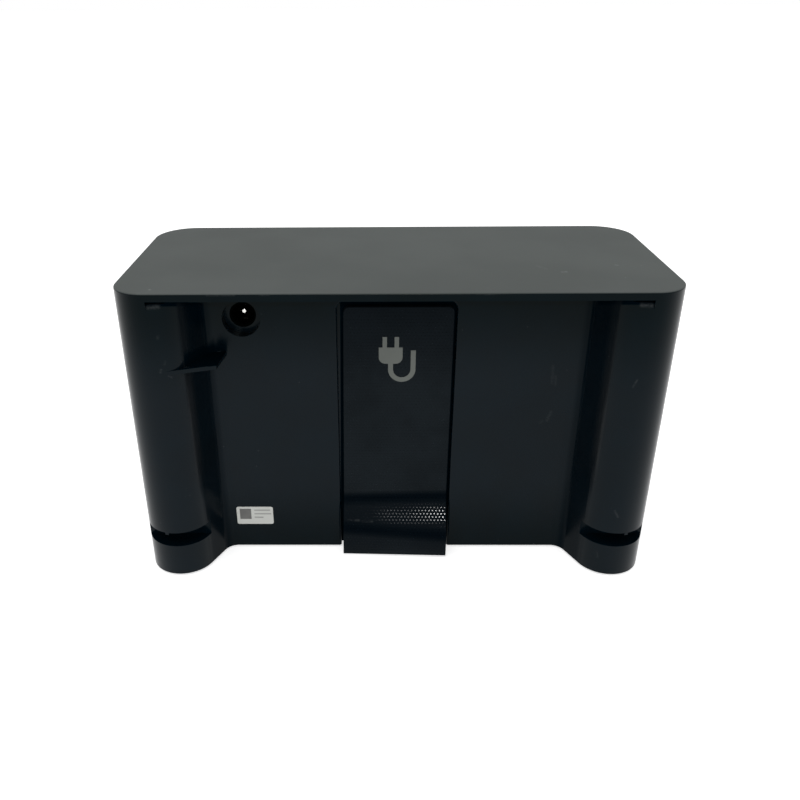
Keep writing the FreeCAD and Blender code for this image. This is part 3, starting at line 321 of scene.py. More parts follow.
@dataclass(frozen=True)
class HousingFinish(Finish):
    """Black moulded plastic with the marks of use, and a paler, duller top plate whose paler colour is
    painted light.

    Painted shade dims the gloss under the rim, at the foot of the recess and on each flank. It takes the
    gloss away as painted shadow on the floor of the strap's channel, on the fin and in a line right under
    the rim of each column. A painted sheen lightens the edge where each column turns into its flank, and
    two marks paint a highlight under the rim.
    """

    tint: Colour = (0.87, 0.95, 1.0)
    # Painted shade: how much dimmer the gloss's tint is where it is shaded.
    dim: Colour = (0.45, 0.44, 0.34)
    side_gloss: float = 0.5
    # Painted shade: where the gloss is dimmed, under the rim, at the foot of the recess away from the
    # columns, and towards -X.
    rim_fade: Pair = (98.0, 64.0)
    foot_fade: Pair = (0.0, 30.0)
    column_side: Pair = (60.0, 68.0)
    shaded_side: Pair = (-75.0, 10.0)
    shaded_share: float = 0.8
    # Painted shadow on the floor of the strap's channel.
    channel_edges: Pair = (-20.5, 18.9)
    channel_lean: float = 0.0153
    channel_floor: Pair = (57.0, 60.0)
    channel_blur: float = 0.3
    # Painted shade on the cord fin and the corner above it.
    fin_shade: Pair = (78.0, 83.0)
    fin_top: float = 76.5
    fin_side: Pair = (50.0, 72.0)
    fin_side_blur: float = 1.0
    fin_depth: Pair = (61.5, 72.5)
    fin_depth_blur: float = 0.4
    # Painted shadow: the dark line under the rim of each column.
    rim_shadow_side: Pair = (60.5, 73.0)
    rim_shadow_band: Pair = (97.7, 98.85)
    rim_shadow_blur: float = 0.25
    rim_shadow_lean: float = 0.36
    rim_shadow_low: float = 90.0
    rim_shadow_edge: float = 0.02
    # Painted light: a paler band where each column turns into its flank.
    sheen_side: Pair = (64.6, 64.7)
    sheen_rise: float = 2.0
    sheen_fall: float = 0.5
    sheen_depth: Pair = (69.5, 73.6)
    sheen_blur: float = 0.3
    sheen_foot: Pair = (28.0, 48.0)
    sheen_levels: Pair = (0.5, 1.0)
    sheen_colour: Colour = (0.008, 0.0098, 0.0115)
    # Painted shade on each flank, deepest at its foot.
    flank_side: Pair = (59.3, 62.8)
    flank_side_blur: float = 2.0
    flank_depth: Pair = (61.0, 72.0)
    flank_depth_blur: float = 0.5
    flank_fade: Pair = (3.0, 38.0)
    flank_shade: Pair = (0.7, 0.45)
    rear: float = 77.25
    top_height: float = 101.3
    top_edge: float = 0.45
    # Painted light: the top plate's paler colour, where light falls on it.
    painted_lit_top_colour: Colour = (0.094, 0.103, 0.1)
    top_patch: float = 30.0
    top_levels: Pair = (0.95, 1.05)
    top_gloss: float = 0.06
    top_roughness: float = 0.5
    top_wear: float = 2.2
    worn_colour: Colour = (0.05, 0.055, 0.058)
    worn_roughness: float = 0.5
    wear_grain: float = 0.7
    wear_ends: Pair = (0.3, 0.6)
    wear_levels: Pair = (0.3, 1.0)
    speck_spacing: float = 7.0
    speck_radius: float = 0.3
    speck_strength: float = 0.7
    scuffs: tuple[Scuff, ...] = ()

    def light(self, drawn: NodeSketch) -> Socket:
        """How much of its gloss a place keeps, from 0 to 1: painted shade that dims it under the rim, at
        the foot of the recess away from the columns, and towards -X.
        """
        height = drawn.axis("Z")
        under_rim = drawn.fade(height, self.rim_fade)
        foot = drawn.fade(height, self.foot_fade)
        column = drawn.fade(drawn.aside(), self.column_side)
        side = drawn.fade(drawn.axis("X"), self.shaded_side, (self.shaded_share, 1.0))
        return drawn.product(under_rim, drawn.most(foot, column), side)

    def channel(self, drawn: NodeSketch) -> Socket:
        """A mask of painted shadow on the floor of the strap's channel beside the strap, which leans a
        little.
        """
        leaning = drawn.math("MULTIPLY_ADD", drawn.axis("Z"), self.channel_lean, drawn.axis("X"))
        across = drawn.within(leaning, self.channel_edges, self.channel_blur)
        return drawn.product(across, drawn.within(drawn.axis("Y"), self.channel_floor, self.channel_blur))

    def fin(self, drawn: NodeSketch) -> Socket:
        """A mask of painted shade on the upper face of the cord fin and on the corner above it."""
        height = drawn.axis("Z")
        above = drawn.fade(height, (self.fin_top - NEAR, self.fin_top))
        shade = drawn.fade(height, self.fin_shade, (1.0, 0.0))
        depth = drawn.within(drawn.axis("Y"), self.fin_depth, self.fin_depth_blur)
        side = drawn.within(drawn.axis("X"), self.fin_side, self.fin_side_blur)
        return drawn.product(above, shade, depth, side)

    def rim_shadow(self, drawn: NodeSketch) -> Socket:
        """A mask of the painted shadow line under the rim of each column."""
        inward = drawn.math("SUBTRACT", self.rear * MM, drawn.axis("Y"))
        level = drawn.math("MULTIPLY_ADD", inward, self.rim_shadow_lean, drawn.axis("Z"))
        band = drawn.within(level, self.rim_shadow_band, self.rim_shadow_blur)
        below = drawn.within(drawn.axis("Z"), (self.rim_shadow_low, self.rim_shadow_band[1]), self.rim_shadow_edge)
        return drawn.product(band, below, drawn.within(drawn.aside(), self.rim_shadow_side, NEAR))

    def sheen(self, drawn: NodeSketch) -> Socket:
        """A mask of painted light on the soft edge where each column turns into its flank."""
        low, high = self.sheen_side
        rise = drawn.fade(drawn.aside(), (low - self.sheen_rise, low))
        fall = drawn.fade(drawn.aside(), (high, high + self.sheen_fall), (1.0, 0.0))
        depth = drawn.within(drawn.axis("Y"), self.sheen_depth, self.sheen_blur)
        height = drawn.fade(drawn.axis("Z"), self.rim_fade, self.sheen_levels)
        foot = drawn.fade(drawn.axis("Z"), self.sheen_foot)
        clear = drawn.math("SUBTRACT", drawn.product(height, foot), self.fin(drawn))
        return drawn.math("MULTIPLY*", drawn.product(rise, fall, depth), clear)

    def flank(self, drawn: NodeSketch) -> Socket:
        """How much painted shade dims each flank's gloss, most of all at its foot."""
        side = drawn.within(drawn.aside(), self.flank_side, self.flank_side_blur)
        depth = drawn.within(drawn.axis("Y"), self.flank_depth, self.flank_depth_blur)
        return drawn.product(side, depth, drawn.fade(drawn.axis("Z"), self.flank_fade, self.flank_shade))

    def wear(self, drawn: NodeSketch) -> Socket:
        """A mask of the specks and scuffs, two of which are a painted highlight under the rim."""
        specks = drawn.specks(self.speck_spacing, self.speck_radius, self.speck_strength)
        worn = drawn.most(specks, *(drawn.scuff(mark) for mark in self.scuffs))
        breaks = drawn.span(drawn.noise(self.wear_grain), self.wear_ends, self.wear_levels)
        return drawn.product(worn, breaks)

    def sketch(self) -> NodeSketch:
        """Draws the plastic, then its painted shade and painted sheen, the top plate with its painted
        light, and the wear.

        Returns:
            The sketch.
        """
        drawn = super().sketch()
        faded = tuple(c * d for c, d in zip(self.tint, self.dim))
        # Painted shade: the gloss is tinted dimmer under the rim, at the foot of the recess and towards
        # -X.
        drawn.feed("Specular Tint", drawn.mix(self.light(drawn), faded, self.tint))
        # Painted light: a paler colour where each column turns into its flank.
        drawn.cover(self.sheen(drawn), self.sheen_colour)
        # Painted light: the top plate is paler where light falls on it.
        top = drawn.fade(drawn.axis("Z"), (self.top_height - self.top_edge, self.top_height))
        patches = drawn.span(drawn.noise(self.top_patch, self.patch_detail), NOISE_ENDS, self.top_levels)
        drawn.cover(top, drawn.vector("SCALE", self.painted_lit_top_colour, None, None, patches).outputs["Vector"])
        # Painted shade and shadow: the gloss is taken away on the channel floor, the fin, under the rim
        # and on the flanks.
        painted_shade = drawn.most(self.channel(drawn), self.fin(drawn), self.rim_shadow(drawn), self.flank(drawn))
        kept = drawn.math("SUBTRACT", 1.0, drawn.math("SUBTRACT*", painted_shade, top))
        gloss = drawn.span(top, (0.0, 1.0), (self.side_gloss, self.top_gloss))
        drawn.feed("Specular IOR Level", drawn.product(gloss, kept))
        worn = self.wear(drawn)
        pale = drawn.mix(top, self.worn_colour, tuple(self.top_wear * c for c in self.painted_lit_top_colour))
        drawn.cover(worn, pale)
        duller = drawn.product(top, self.top_roughness)
        wear_and_glint = drawn.product(worn, self.worn_roughness)
        drawn.feed("Roughness", drawn.most(drawn.fed("Roughness"), duller, wear_and_glint))
        return drawn


@dataclass(frozen=True)
class StrapFinish(Finish):
    """Black rubber whose colour follows the strap's tone, a painted shade: 1 where it hangs flat, 0 in its
    darkest bends.
    """

    # Painted shade: the colour of the darkest bends.
    dark: Colour = (0.001, 0.0028, 0.0048)
    worn_colour: Colour = (0.03, 0.034, 0.036)
    wear_grain: float = 0.9
    wear_ends: Pair = (0.4, 0.6)
    wear_levels: Pair = (0.1, 1.0)
    scuffs: tuple[Scuff, ...] = ()

    def sketch(self) -> NodeSketch:
        """Draws the rubber, then its tone, which is painted shade, its gloss, which keeps the painted
        highlights and shade in its reflections, and its scuffs.

        Returns:
            The sketch.
        """
        drawn = super().sketch()
        # Painted highlight and shade: the gloss sets where the rubber reflects.
        gloss = drawn.node("Attribute", attribute_name=GLOSS).outputs["Fac"]
        drawn.feed("Specular Tint", drawn.mix(gloss, (0.0, 0.0, 0.0), (1.0, 1.0, 1.0)))
        # Painted shade: the rubber darkens with the tone.
        tone = drawn.node("Attribute", attribute_name=TONE).outputs["Fac"]
        drawn.feed("Base Color", drawn.mix(tone, self.dark, drawn.fed("Base Color")))
        for mark in self.scuffs:
            breaks = drawn.span(drawn.noise(self.wear_grain), self.wear_ends, self.wear_levels)
            drawn.cover(drawn.product(drawn.scuff(mark), breaks), self.worn_colour)
        return drawn


@dataclass(frozen=True)
class BrushedFinish(Finish):
    """Metal with fine streaks along one axis."""

    streak: Point = (0.1, 2.0, 2.0)
    streak_depth: float = 0.08

    def sketch(self) -> NodeSketch:
        """Draws the metal, then its streaks.

        Returns:
            The sketch.
        """
        drawn = super().sketch()
        scale = tuple(s / MM for s in self.streak)
        lines = drawn.node("TexNoise", drawn.vector("MULTIPLY", drawn.place, scale).outputs["Vector"])
        streaks = drawn.span(lines.outputs["Fac"], NOISE_ENDS, (-self.streak_depth, self.streak_depth))
        drawn.feed("Roughness", drawn.math("ADD*", drawn.fed("Roughness"), streaks))
        return drawn


HOUSING_SCUFFS_AND_HIGHLIGHTS = (
    Scuff((-49.9, 61.05, 71.2), (-50.3, 61.05, 65.2), 0.9, 0.14),
    Scuff((-51.2, 61.05, 67.5), (-51.4, 61.05, 64.5), 0.7, 0.14),
    Scuff((-51.0, 61.05, 54.6), (-49.9, 61.05, 51.6), 0.9, 0.17),
    Scuff((-48.4, 61.05, 51.2), (-47.8, 61.05, 50.6), 0.8, 0.12),
    Scuff((-70.7, 76.9, 71.3), (-71.5, 77.05, 73.7), 0.5, 0.3),
    Scuff((-71.3, 77.0, 26.5), (-72.5, 77.2, 24.3), 0.6, 0.35),
    Scuff((-68.0, 75.7, 9.0), (-68.4, 75.9, 7.0), 0.5, 0.18),
    Scuff((70.6, 76.8, 88.2), (70.7, 76.9, 87.6), 0.7, 0.2),
    Scuff((69.5, 76.5, 80.0), (69.8, 76.6, 79.0), 0.6, 0.16),
    Scuff((70.9, 76.9, 77.4), (71.2, 77.0, 76.6), 0.6, 0.28),
    Scuff((69.0, 76.3, 75.0), (68.2, 76.0, 74.4), 0.5, 0.25),
    Scuff((72.0, 73.5, 101.3), (72.3, 73.2, 101.3), 0.6, 0.7),
    Scuff((-68.5, 51.3, 101.3), (-68.9, 51.6, 101.3), 0.8, 0.4),
    Scuff((-50.5, 58.2, 101.3), (-51.4, 58.0, 101.3), 1.0, 0.5),
    Scuff((-46.0, 55.0, 101.3), (-44.0, 52.0, 101.3), 1.2, 0.12),
    # Painted highlight: these two marks lighten the bevel under the rim at each column's outer corner.
    Scuff((72.4, 76.9, 97.3), (69.6, 76.2, 97.2), 1.1, 0.5),
    Scuff((-72.4, 76.9, 97.3), (-69.6, 76.2, 97.2), 1.1, 0.5),
    Scuff((55.0, 77.25, 100.8), (47.0, 77.25, 100.8), 0.35, 0.25),
    Scuff((40.0, 77.25, 100.8), (37.0, 77.25, 100.8), 0.3, 0.25),
    Scuff((-24.0, 77.25, 100.8), (-27.0, 77.25, 100.8), 0.3, 0.25),
)
HOUSING_BLACK = HousingFinish(
    "housing_black", (0.0003, 0.0032, 0.0058), 0.2, ior=1.225, relief=0.006,
    top_height=top_of("housing"), scuffs=HOUSING_SCUFFS_AND_HIGHLIGHTS)
RAMP_BLACK = Finish("ramp_black", (0.005, 0.0066, 0.0082), 0.42, ior=1.25, relief=0.02)
STRAP_SCUFFS = (
    Scuff((16.2, 64.4, 14.0), (12.5, 64.45, 13.9), 0.7, 0.7),
    Scuff((11.0, 64.6, 13.6), (7.8, 64.65, 13.5), 0.6, 0.6),
)
STRAP_RUBBER = StrapFinish(
    "strap_rubber", (0.0108, 0.0141, 0.0168), 0.5, ior=1.05, grain=0.25, scuffs=STRAP_SCUFFS)
DOT_RUBBER = StrapFinish(
    "dot_rubber", (0.0095, 0.0129, 0.0156), 0.2, ior=1.5, grain=0.25, relief=0.0005,
    scuffs=STRAP_SCUFFS)
SPRING_STEEL = Finish("spring_steel", (0.42, 0.42, 0.43), 0.3, metallic=1.0, relief=0.003)
PRINT_GREY = Finish("print_grey", (0.125, 0.135, 0.125), 0.5, ior=1.2, grain=0.2, mottle=0.06)
PRINT_DARK = Finish("print_dark", (0.16, 0.16, 0.155), 0.6, ior=1.2, grain=0.5, mottle=0.2)
PRINT_PALE = Finish("print_pale", (0.36, 0.365, 0.35), 0.6, ior=1.2, grain=0.2)

SLOT_FINISHES: dict[str, Finish] = {
    "charcoal_plastic": HOUSING_BLACK,
    "window_plastic": Finish("window_smoke", (0.004, 0.0022, 0.0035), 0.1, ior=1.3, relief=0.001),
    "strap_rubber": STRAP_RUBBER,
    "socket_plastic": Finish("socket_black", (0.0007, 0.0011, 0.0009), 0.5, ior=1.03),
    "pin_nickel": Finish("bright_nickel", (0.75, 0.74, 0.71), 0.16, metallic=1.0, relief=0.002),
    "board_laminate": Finish("board_green", (0.012, 0.075, 0.03), 0.35),
    "capacitor_sleeve": Finish("capacitor_sleeve", (0.02, 0.022, 0.05), 0.3),
    "chip_plastic": Finish("chip_black", (0.016, 0.016, 0.017), 0.55),
    "emitter_lens": Finish("lens_resin", (0.05, 0.025, 0.06), 0.08, ior=1.5, relief=0.001),
    "lead_red": Finish("lead_red", (0.35, 0.02, 0.018), 0.45),
    "lead_black": Finish("lead_black", (0.015, 0.015, 0.016), 0.45),
    "contact_nickel": BrushedFinish("rubbed_nickel", (0.62, 0.61, 0.58), 0.28, metallic=1.0, relief=0.003),
    "spring_steel": SPRING_STEEL,
    "terminal_brass": BrushedFinish("terminal_brass", (0.66, 0.48, 0.2), 0.3, metallic=1.0, relief=0.003),
    "screw_steel": Finish("screw_steel", (0.36, 0.36, 0.37), 0.32, metallic=1.0, relief=0.004),
    "foot_rubber": Finish("foot_rubber", (0.018, 0.018, 0.019), 0.75, relief=0.02),
    "label_paper": Finish("label_paper", (0.57, 0.58, 0.55), 0.55, grain=0.15, mottle=0.04),
}
NODE_FINISHES: dict[str, Finish] = {
    "base_tray": RAMP_BLACK,
    "contact_cover": RAMP_BLACK,
    # Painted shade: the leaf deep in the socket gets a near-black metal colour.
    "jack_leaf": Finish("shaded_bronze", (0.03, 0.026, 0.02), 0.5, metallic=1.0),
}


class Bench:
    """Edit-mode work that the new pieces share."""

    @staticmethod
    def clear() -> None:
        """Leaves edit mode and deselects everything."""
        if bpy.context.object and bpy.context.object.mode != "OBJECT":
            bpy.ops.object.mode_set(mode="OBJECT")
        bpy.ops.object.select_all(action="DESELECT")

    @staticmethod
    def keep(name: str) -> Piece:
        """Names the primitive just added and moves its place into its mesh.

        Args:
            name: The piece's name.

        Returns:
            The piece, at the origin.
        """
        piece = bpy.context.object
        piece.name = name
        piece.data.name = name
        bpy.ops.object.transform_apply(location=True, rotation=True, scale=True)
        return piece

    @classmethod
    def box(cls, name: str, low: Point, high: Point) -> Piece:
        """Adds a box between two corners in millimetres.

        Args:
            name: The piece's name.
            low: The lowest corner.
            high: The highest corner.

        Returns:
            The box.
        """
        cls.clear()
        centre = [(a + b) / 2 * MM for a, b in zip(low, high)]
        size = [(b - a) * MM for a, b in zip(low, high)]
        bpy.ops.mesh.primitive_cube_add(size=1.0, location=centre, scale=size)
        return cls.keep(name)

    @staticmethod
    def pick(piece: Piece, part: Part, test: Callable[[Vector], bool]) -> None:
        """Selects, in edit mode, what has its middle where a test allows it.

        Args:
            piece: The piece in edit mode.
            part: Whether faces or edges are tested.
            test: Says whether a middle, in millimetres, is chosen.
        """
        bpy.ops.mesh.select_mode(type=part.value)
        bpy.ops.mesh.select_all(action="DESELECT")
        mesh = bmesh.from_edit_mesh(piece.data)
        for item in mesh.faces if part is Part.FACE else mesh.edges:
            middle = sum((v.co for v in item.verts), Vector()) / len(item.verts)
            if test(middle / MM):
                item.select_set(True)
        bmesh.update_edit_mesh(piece.data)

    @classmethod
    def edit(cls, piece: Piece) -> None:
        """Opens a piece in edit mode with all of it selected."""
        cls.choose(piece)
        bpy.ops.object.mode_set(mode="EDIT")
        bpy.ops.mesh.select_all(action="SELECT")

    @staticmethod
    def cut(place: Point, normal: Point) -> None:
        """Cuts the piece in edit mode across, at a place in millimetres."""
        bpy.ops.mesh.select_all(action="SELECT")
        bpy.ops.mesh.bisect(plane_co=Vector(place) * MM, plane_no=normal)

    @staticmethod
    def close() -> None:
        """Leaves edit mode."""
        bpy.ops.object.mode_set(mode="OBJECT")

    @classmethod
    def choose(cls, *pieces: Piece) -> None:
        """Selects only some pieces, with the first of them active."""
        cls.clear()
        for piece in pieces:
            piece.select_set(True)
        bpy.context.view_layer.objects.active = pieces[0]

    @classmethod
    def join(cls, *pieces: Piece) -> Piece:
        """Joins pieces into the first of them and returns it."""
        cls.choose(*pieces)
        bpy.ops.object.join()
        return bpy.context.object

    @classmethod
    def array(cls, piece: Piece, count: int, step: Point) -> None:
        """Repeats a piece along a step in millimetres, and applies it."""
        cls.choose(piece)
        rows = piece.modifiers.new("rows", "ARRAY")
        rows.count = count
        rows.use_relative_offset = False
        rows.use_constant_offset = True
        rows.constant_offset_displace = [s * MM for s in step]
        bpy.ops.object.modifier_apply(modifier=rows.name)

    @classmethod
    def smooth(cls, piece: Piece, angle: float = SMOOTH_ANGLE) -> None:
        """Shades a piece smooth but for edges sharper than an angle in degrees."""
        cls.choose(piece)
        bpy.ops.object.shade_smooth_by_angle(angle=math.radians(angle))

    @staticmethod
    def paint(piece: Piece, name: str, values: Sequence[float]) -> None:
        """Writes a value of a named kind for each vertex of a piece."""
        layer = piece.data.attributes.new(name, "FLOAT", "POINT")
        layer.data.foreach_set("value", values)


def settle(piece: Piece) -> None:
    """Puts a finished piece on the dock.

    Args:
        piece: The piece, in place.
    """
    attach(piece, DOCK)
    LOG.info("piece %s on %s, %d faces", piece.name, DOCK, len(piece.data.polygons))


def smooth_step(value: float) -> float:
    """A value from 0 to 1, eased at both ends."""
    held = min(max(value, 0.0), 1.0)
    return held * held * (3 - 2 * held)


@dataclass
class CordStrap:
    """The rubber strap: flat in its channel, with a foot that bends out and down, covered in small dots.

    The strap is modelled flat, across X and along Y with its face up, and then hung in the channel.
    """

    thickness: float = 1.8
    edge_round: float = 0.35
    edge_steps: int = 3
    corner: float = 2.0
    corner_steps: int = 8
    bend: float = 31.0
    bend_radius: float = 10.0
    tail: float = 6.5
    taper_left: float = 1.3
    upper_skew: float = 0.5
    lower_skew: float = 1.3
    dot_pitch: float = 1.2
    row_pitch: float = 1.1
    dot_base: float = 0.7
    dot_top: float = 0.5
    dot_height: float = 0.1
    dot_sides: int = 8
    margin: float = 0.55
    cuts_along: int = 48
    cuts_across: int = 8
    stud_spacing: float = 20.0
    stud_drop: float = 8.0
    stud_radius: float = 2.5
    stud_head_radius: float = 3.8
    stud_head: float = 1.5
    stud_sides: int = 32
    wall: float = 2.2
    # Painted shade: how pale the slope and the tail look.
    slope_tone: float = 0.34
    tail_tone: float = 0.6
    hem: float = 2.5
    # Painted highlight: where the dots reflect, faintly on the flat and most on the right of the slope.
    flat_gloss: float = 0.05
    glint_middle: float = 1.2
    glint_aside: float = 0.25
    glint_start: float = 0.35
    glint_gain: float = 1.2
    glint_power: float = 1.6
    # Painted shade along the strap's upper edge.
    upper_edge_tone: float = 0.55
    tone_fade: float = 30.0
    tone_cuts: int = 6

    def __post_init__(self) -> None:
        """Reads the strap's place from the frame and works out its bent foot."""
        low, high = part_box("cord_strap")
        self.width = (high.x - low.x) / MM
        self.top = high.z / MM
        self.back = low.y / MM + self.stud_head + self.wall
        self.face = self.back + self.thickness
        self.turn = math.radians(self.bend)
        self.lower_radius = self.bend_radius + self.thickness
        both = self.bend_radius + self.lower_radius
        kick = high.y / MM - self.face
        self.slope = (kick - both * (1 - math.cos(self.turn))) / math.sin(self.turn)
        drop = both * math.sin(self.turn) + self.slope * math.cos(self.turn)
        self.flat = (high.z - low.z) / MM - self.tail - drop
        self.upper_arc = self.bend_radius * self.turn
        self.lower_arc = self.lower_radius * self.turn
        self.length = self.flat + self.upper_arc + self.slope + self.lower_arc + self.tail

    def turns(self, across: float, along: float) -> tuple[float, float, float]:
        """How far a place on the strap has come through the foot.

        Args:
            across: The place across the strap, along +X.
            along: The distance from the strap's upper edge.

        Returns:
            The angle turned in the upper bend, the way along the slope, and the angle turned back.
        """
        lean = 2 * across / self.width
        upper = self.flat + self.upper_skew * lean
        lower = self.flat + self.upper_arc + self.slope - self.lower_skew * lean
        out = min(max((along - upper) / self.bend_radius, 0.0), self.turn)
        way = min(max(along - upper - self.upper_arc, 0.0), lower - upper - self.upper_arc)
        back = min(max((along - lower) / self.lower_radius, 0.0), self.turn)
        return out, way, back

    def place(self, across: float, along: float, rise: float) -> Vector:
        """Where a point of the flat strap lies once the strap hangs in its channel.

        Args:
            across: The place across the strap, along +X.
            along: The distance from the strap's upper edge.
            rise: The height above the strap's face.

        Returns:
            The point in metres.
        """
        out, way, back = self.turns(across, along)
        tilt = out - back
        left = max(2 * across / self.width, 0.0)
        x = across - self.taper_left * (1 - along / self.length) * left
        y = self.face + self.bend_radius * (1 - math.cos(out)) + way * math.sin(self.turn)
        y += self.lower_radius * (math.cos(self.turn - back) - math.cos(self.turn))
        bent = self.bend_radius * out + way + self.lower_radius * back
        z = self.top - (along - bent) - self.bend_radius * math.sin(out) - way * math.cos(self.turn)
        z -= self.lower_radius * (math.sin(self.turn) - math.sin(self.turn - back))
        return Vector((x, y + rise * math.cos(tilt), z + rise * math.sin(tilt))) * MM

    def tone(self, across: float, along: float) -> float:
        """How pale the rubber looks at a place, as painted shade: 1 on the flat and 0 in the middle of a
        bend.
        """
        out, _, back = self.turns(across, along)
        tilt = (out - back) / self.turn
        hem = smooth_step(1 - (self.length - along) / self.hem)
        level = self.tail_tone + (1 - self.tail_tone) * hem if back > 0 else 1.0
        level += (self.slope_tone - level) * smooth_step(tilt)
        level *= 1 - math.sin(math.pi * tilt)
        edge = self.upper_edge_tone + (1 - self.upper_edge_tone) * smooth_step(along / self.tone_fade)
        return level * edge

    def gloss(self, across: float, along: float) -> float:
        """How much a dot reflects at a place, as a painted highlight: most in the middle of the slope and
        towards its right, little in the bends.
        """
        out, way, back = self.turns(across, along)
        aside = 2 * way / self.slope - self.glint_middle
        wear_and_glint = min(max(self.glint_start - self.glint_gain * across / self.width, 0.0), 1.0) ** self.glint_power
        wear_and_glint *= max(1 - aside * aside, 0.0) * smooth_step((out - back) / self.turn)
        return max(self.flat_gloss * self.tone(across, along), wear_and_glint)

    def sheet(self) -> Piece:
        """Models the flat strap: a box with round upper corners and soft edges, cut where it bends."""
        half = self.width / 2
        strap = Bench.box("cord_strap_rubber", (-half, 0, -self.thickness), (half, self.length, 0))
        Bench.edit(strap)
        middle = -self.thickness / 2
        Bench.pick(strap, Part.EDGE,
                   lambda m: abs(m.x) > OUTER * half and m.y < NEAR and abs(m.z - middle) < NEAR)
        bpy.ops.mesh.bevel(offset=self.corner * MM, segments=self.corner_steps, affect="EDGES")
        Bench.pick(strap, Part.EDGE, lambda m: m.z > -TOUCH)
        bpy.ops.mesh.bevel(offset=self.edge_round * MM, segments=self.edge_steps, affect="EDGES")
        start = self.flat - self.upper_skew
        end = self.length - self.tail + self.lower_skew
        places = [self.tone_fade * step / self.tone_cuts for step in range(1, self.tone_cuts + 1)]
        places += [start + (end - start) * step / self.cuts_along for step in range(self.cuts_along + 1)]
        for along in places:
            Bench.cut((0, along, 0), (0, 1, 0))
        for step in range(1, self.cuts_across):
            Bench.cut(((step / self.cuts_across - 0.5) * self.width, 0, 0), (1, 0, 0))
        Bench.close()
        return strap

    def dots(self) -> Piece:
        """Models one dot and repeats it in two staggered sets of rows."""
        columns = int((self.width - 2 * self.margin) / self.dot_pitch)
        rows = int((self.length - 2 * self.margin) / self.row_pitch / 2)
        sets = []
        for stagger in (0, 1):
            Bench.clear()
            start = (stagger - columns) * self.dot_pitch / 2
            first = self.margin + self.dot_base / 2 + stagger * self.row_pitch
            bpy.ops.mesh.primitive_cone_add(
                vertices=self.dot_sides, radius1=self.dot_base / 2 * MM, radius2=self.dot_top / 2 * MM,
                depth=2 * self.dot_height * MM, location=(start * MM, first * MM, 0))
            dot = Bench.keep(f"strap_dots_{stagger}")
            Bench.array(dot, columns, (self.dot_pitch, 0, 0))
            Bench.array(dot, rows, (0, 2 * self.row_pitch, 0))
            sets.append(dot)
        return Bench.join(*sets)

    def studs(self) -> Piece:
        """Models the two studs at the strap's back, each with a wider head."""
        made = []
        for side in (-1, 1):
            Bench.clear()
            height = self.top - self.stud_drop
            middle = Vector((side * self.stud_spacing / 2, self.back - self.wall / 2, height))
            bpy.ops.mesh.primitive_cylinder_add(
                vertices=self.stud_sides, radius=self.stud_radius * MM, depth=self.wall * MM,
                rotation=(math.pi / 2, 0, 0), location=middle * MM)
            stud = Bench.keep(f"strap_stud_{side}")
            Bench.edit(stud)
            Bench.pick(stud, Part.FACE, lambda m: m.y < self.back - self.wall + TOUCH)
            bpy.ops.mesh.extrude_region_move()
            grow = self.stud_head_radius / self.stud_radius
            bpy.ops.transform.resize(value=(grow, 1, grow), center_override=middle * MM)
            deeper = (0, -self.stud_head * MM, 0)
            bpy.ops.mesh.extrude_region_move(TRANSFORM_OT_translate={"value": deeper})
            Bench.close()
            made.append(stud)
        return Bench.join(*made)

    def build(self) -> Piece:
        """Models the strap, hangs it in its channel and dresses it.

        Returns:
            The strap.
        """
        sheet = self.sheet()
        sheet.data.materials.append(STRAP_RUBBER.material())
        dots = self.dots()
        dots.data.materials.append(DOT_RUBBER.material())
        # Painted highlight: the dots reflect where their gloss allows.
        Bench.paint(sheet, GLOSS, [1.0] * len(sheet.data.vertices))
        Bench.paint(dots, GLOSS, [self.gloss(v.co.x / MM, v.co.y / MM) for v in dots.data.vertices])
        strap = Bench.join(sheet, dots)
        flat = [vertex.co / MM for vertex in strap.data.vertices]
        # Painted shade: the tone darkens the bends, the slope, the tail and the upper edge.
        Bench.paint(strap, TONE, [self.tone(point.x, point.y) for point in flat])
        for vertex, point in zip(strap.data.vertices, flat):
            vertex.co = self.place(*point)
        studs = self.studs()
        studs.data.materials.append(strap.data.materials[0])
        for kind in (TONE, GLOSS):
            Bench.paint(studs, kind, [1.0] * len(studs.data.vertices))
        strap = Bench.join(strap, studs)
        Bench.smooth(strap)
        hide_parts("cord_strap")
        settle(strap)
        return strap

    def glint(self) -> tuple[Vector, Vector]:
        """A place right of the middle of the slope, in metres, and the way that the slope faces."""
        middle = self.flat + self.upper_arc + self.slope / 2
        face = Vector((0, math.cos(self.turn), math.sin(self.turn)))
        return self.place(-self.glint_aside * self.width, middle, 0.0), face


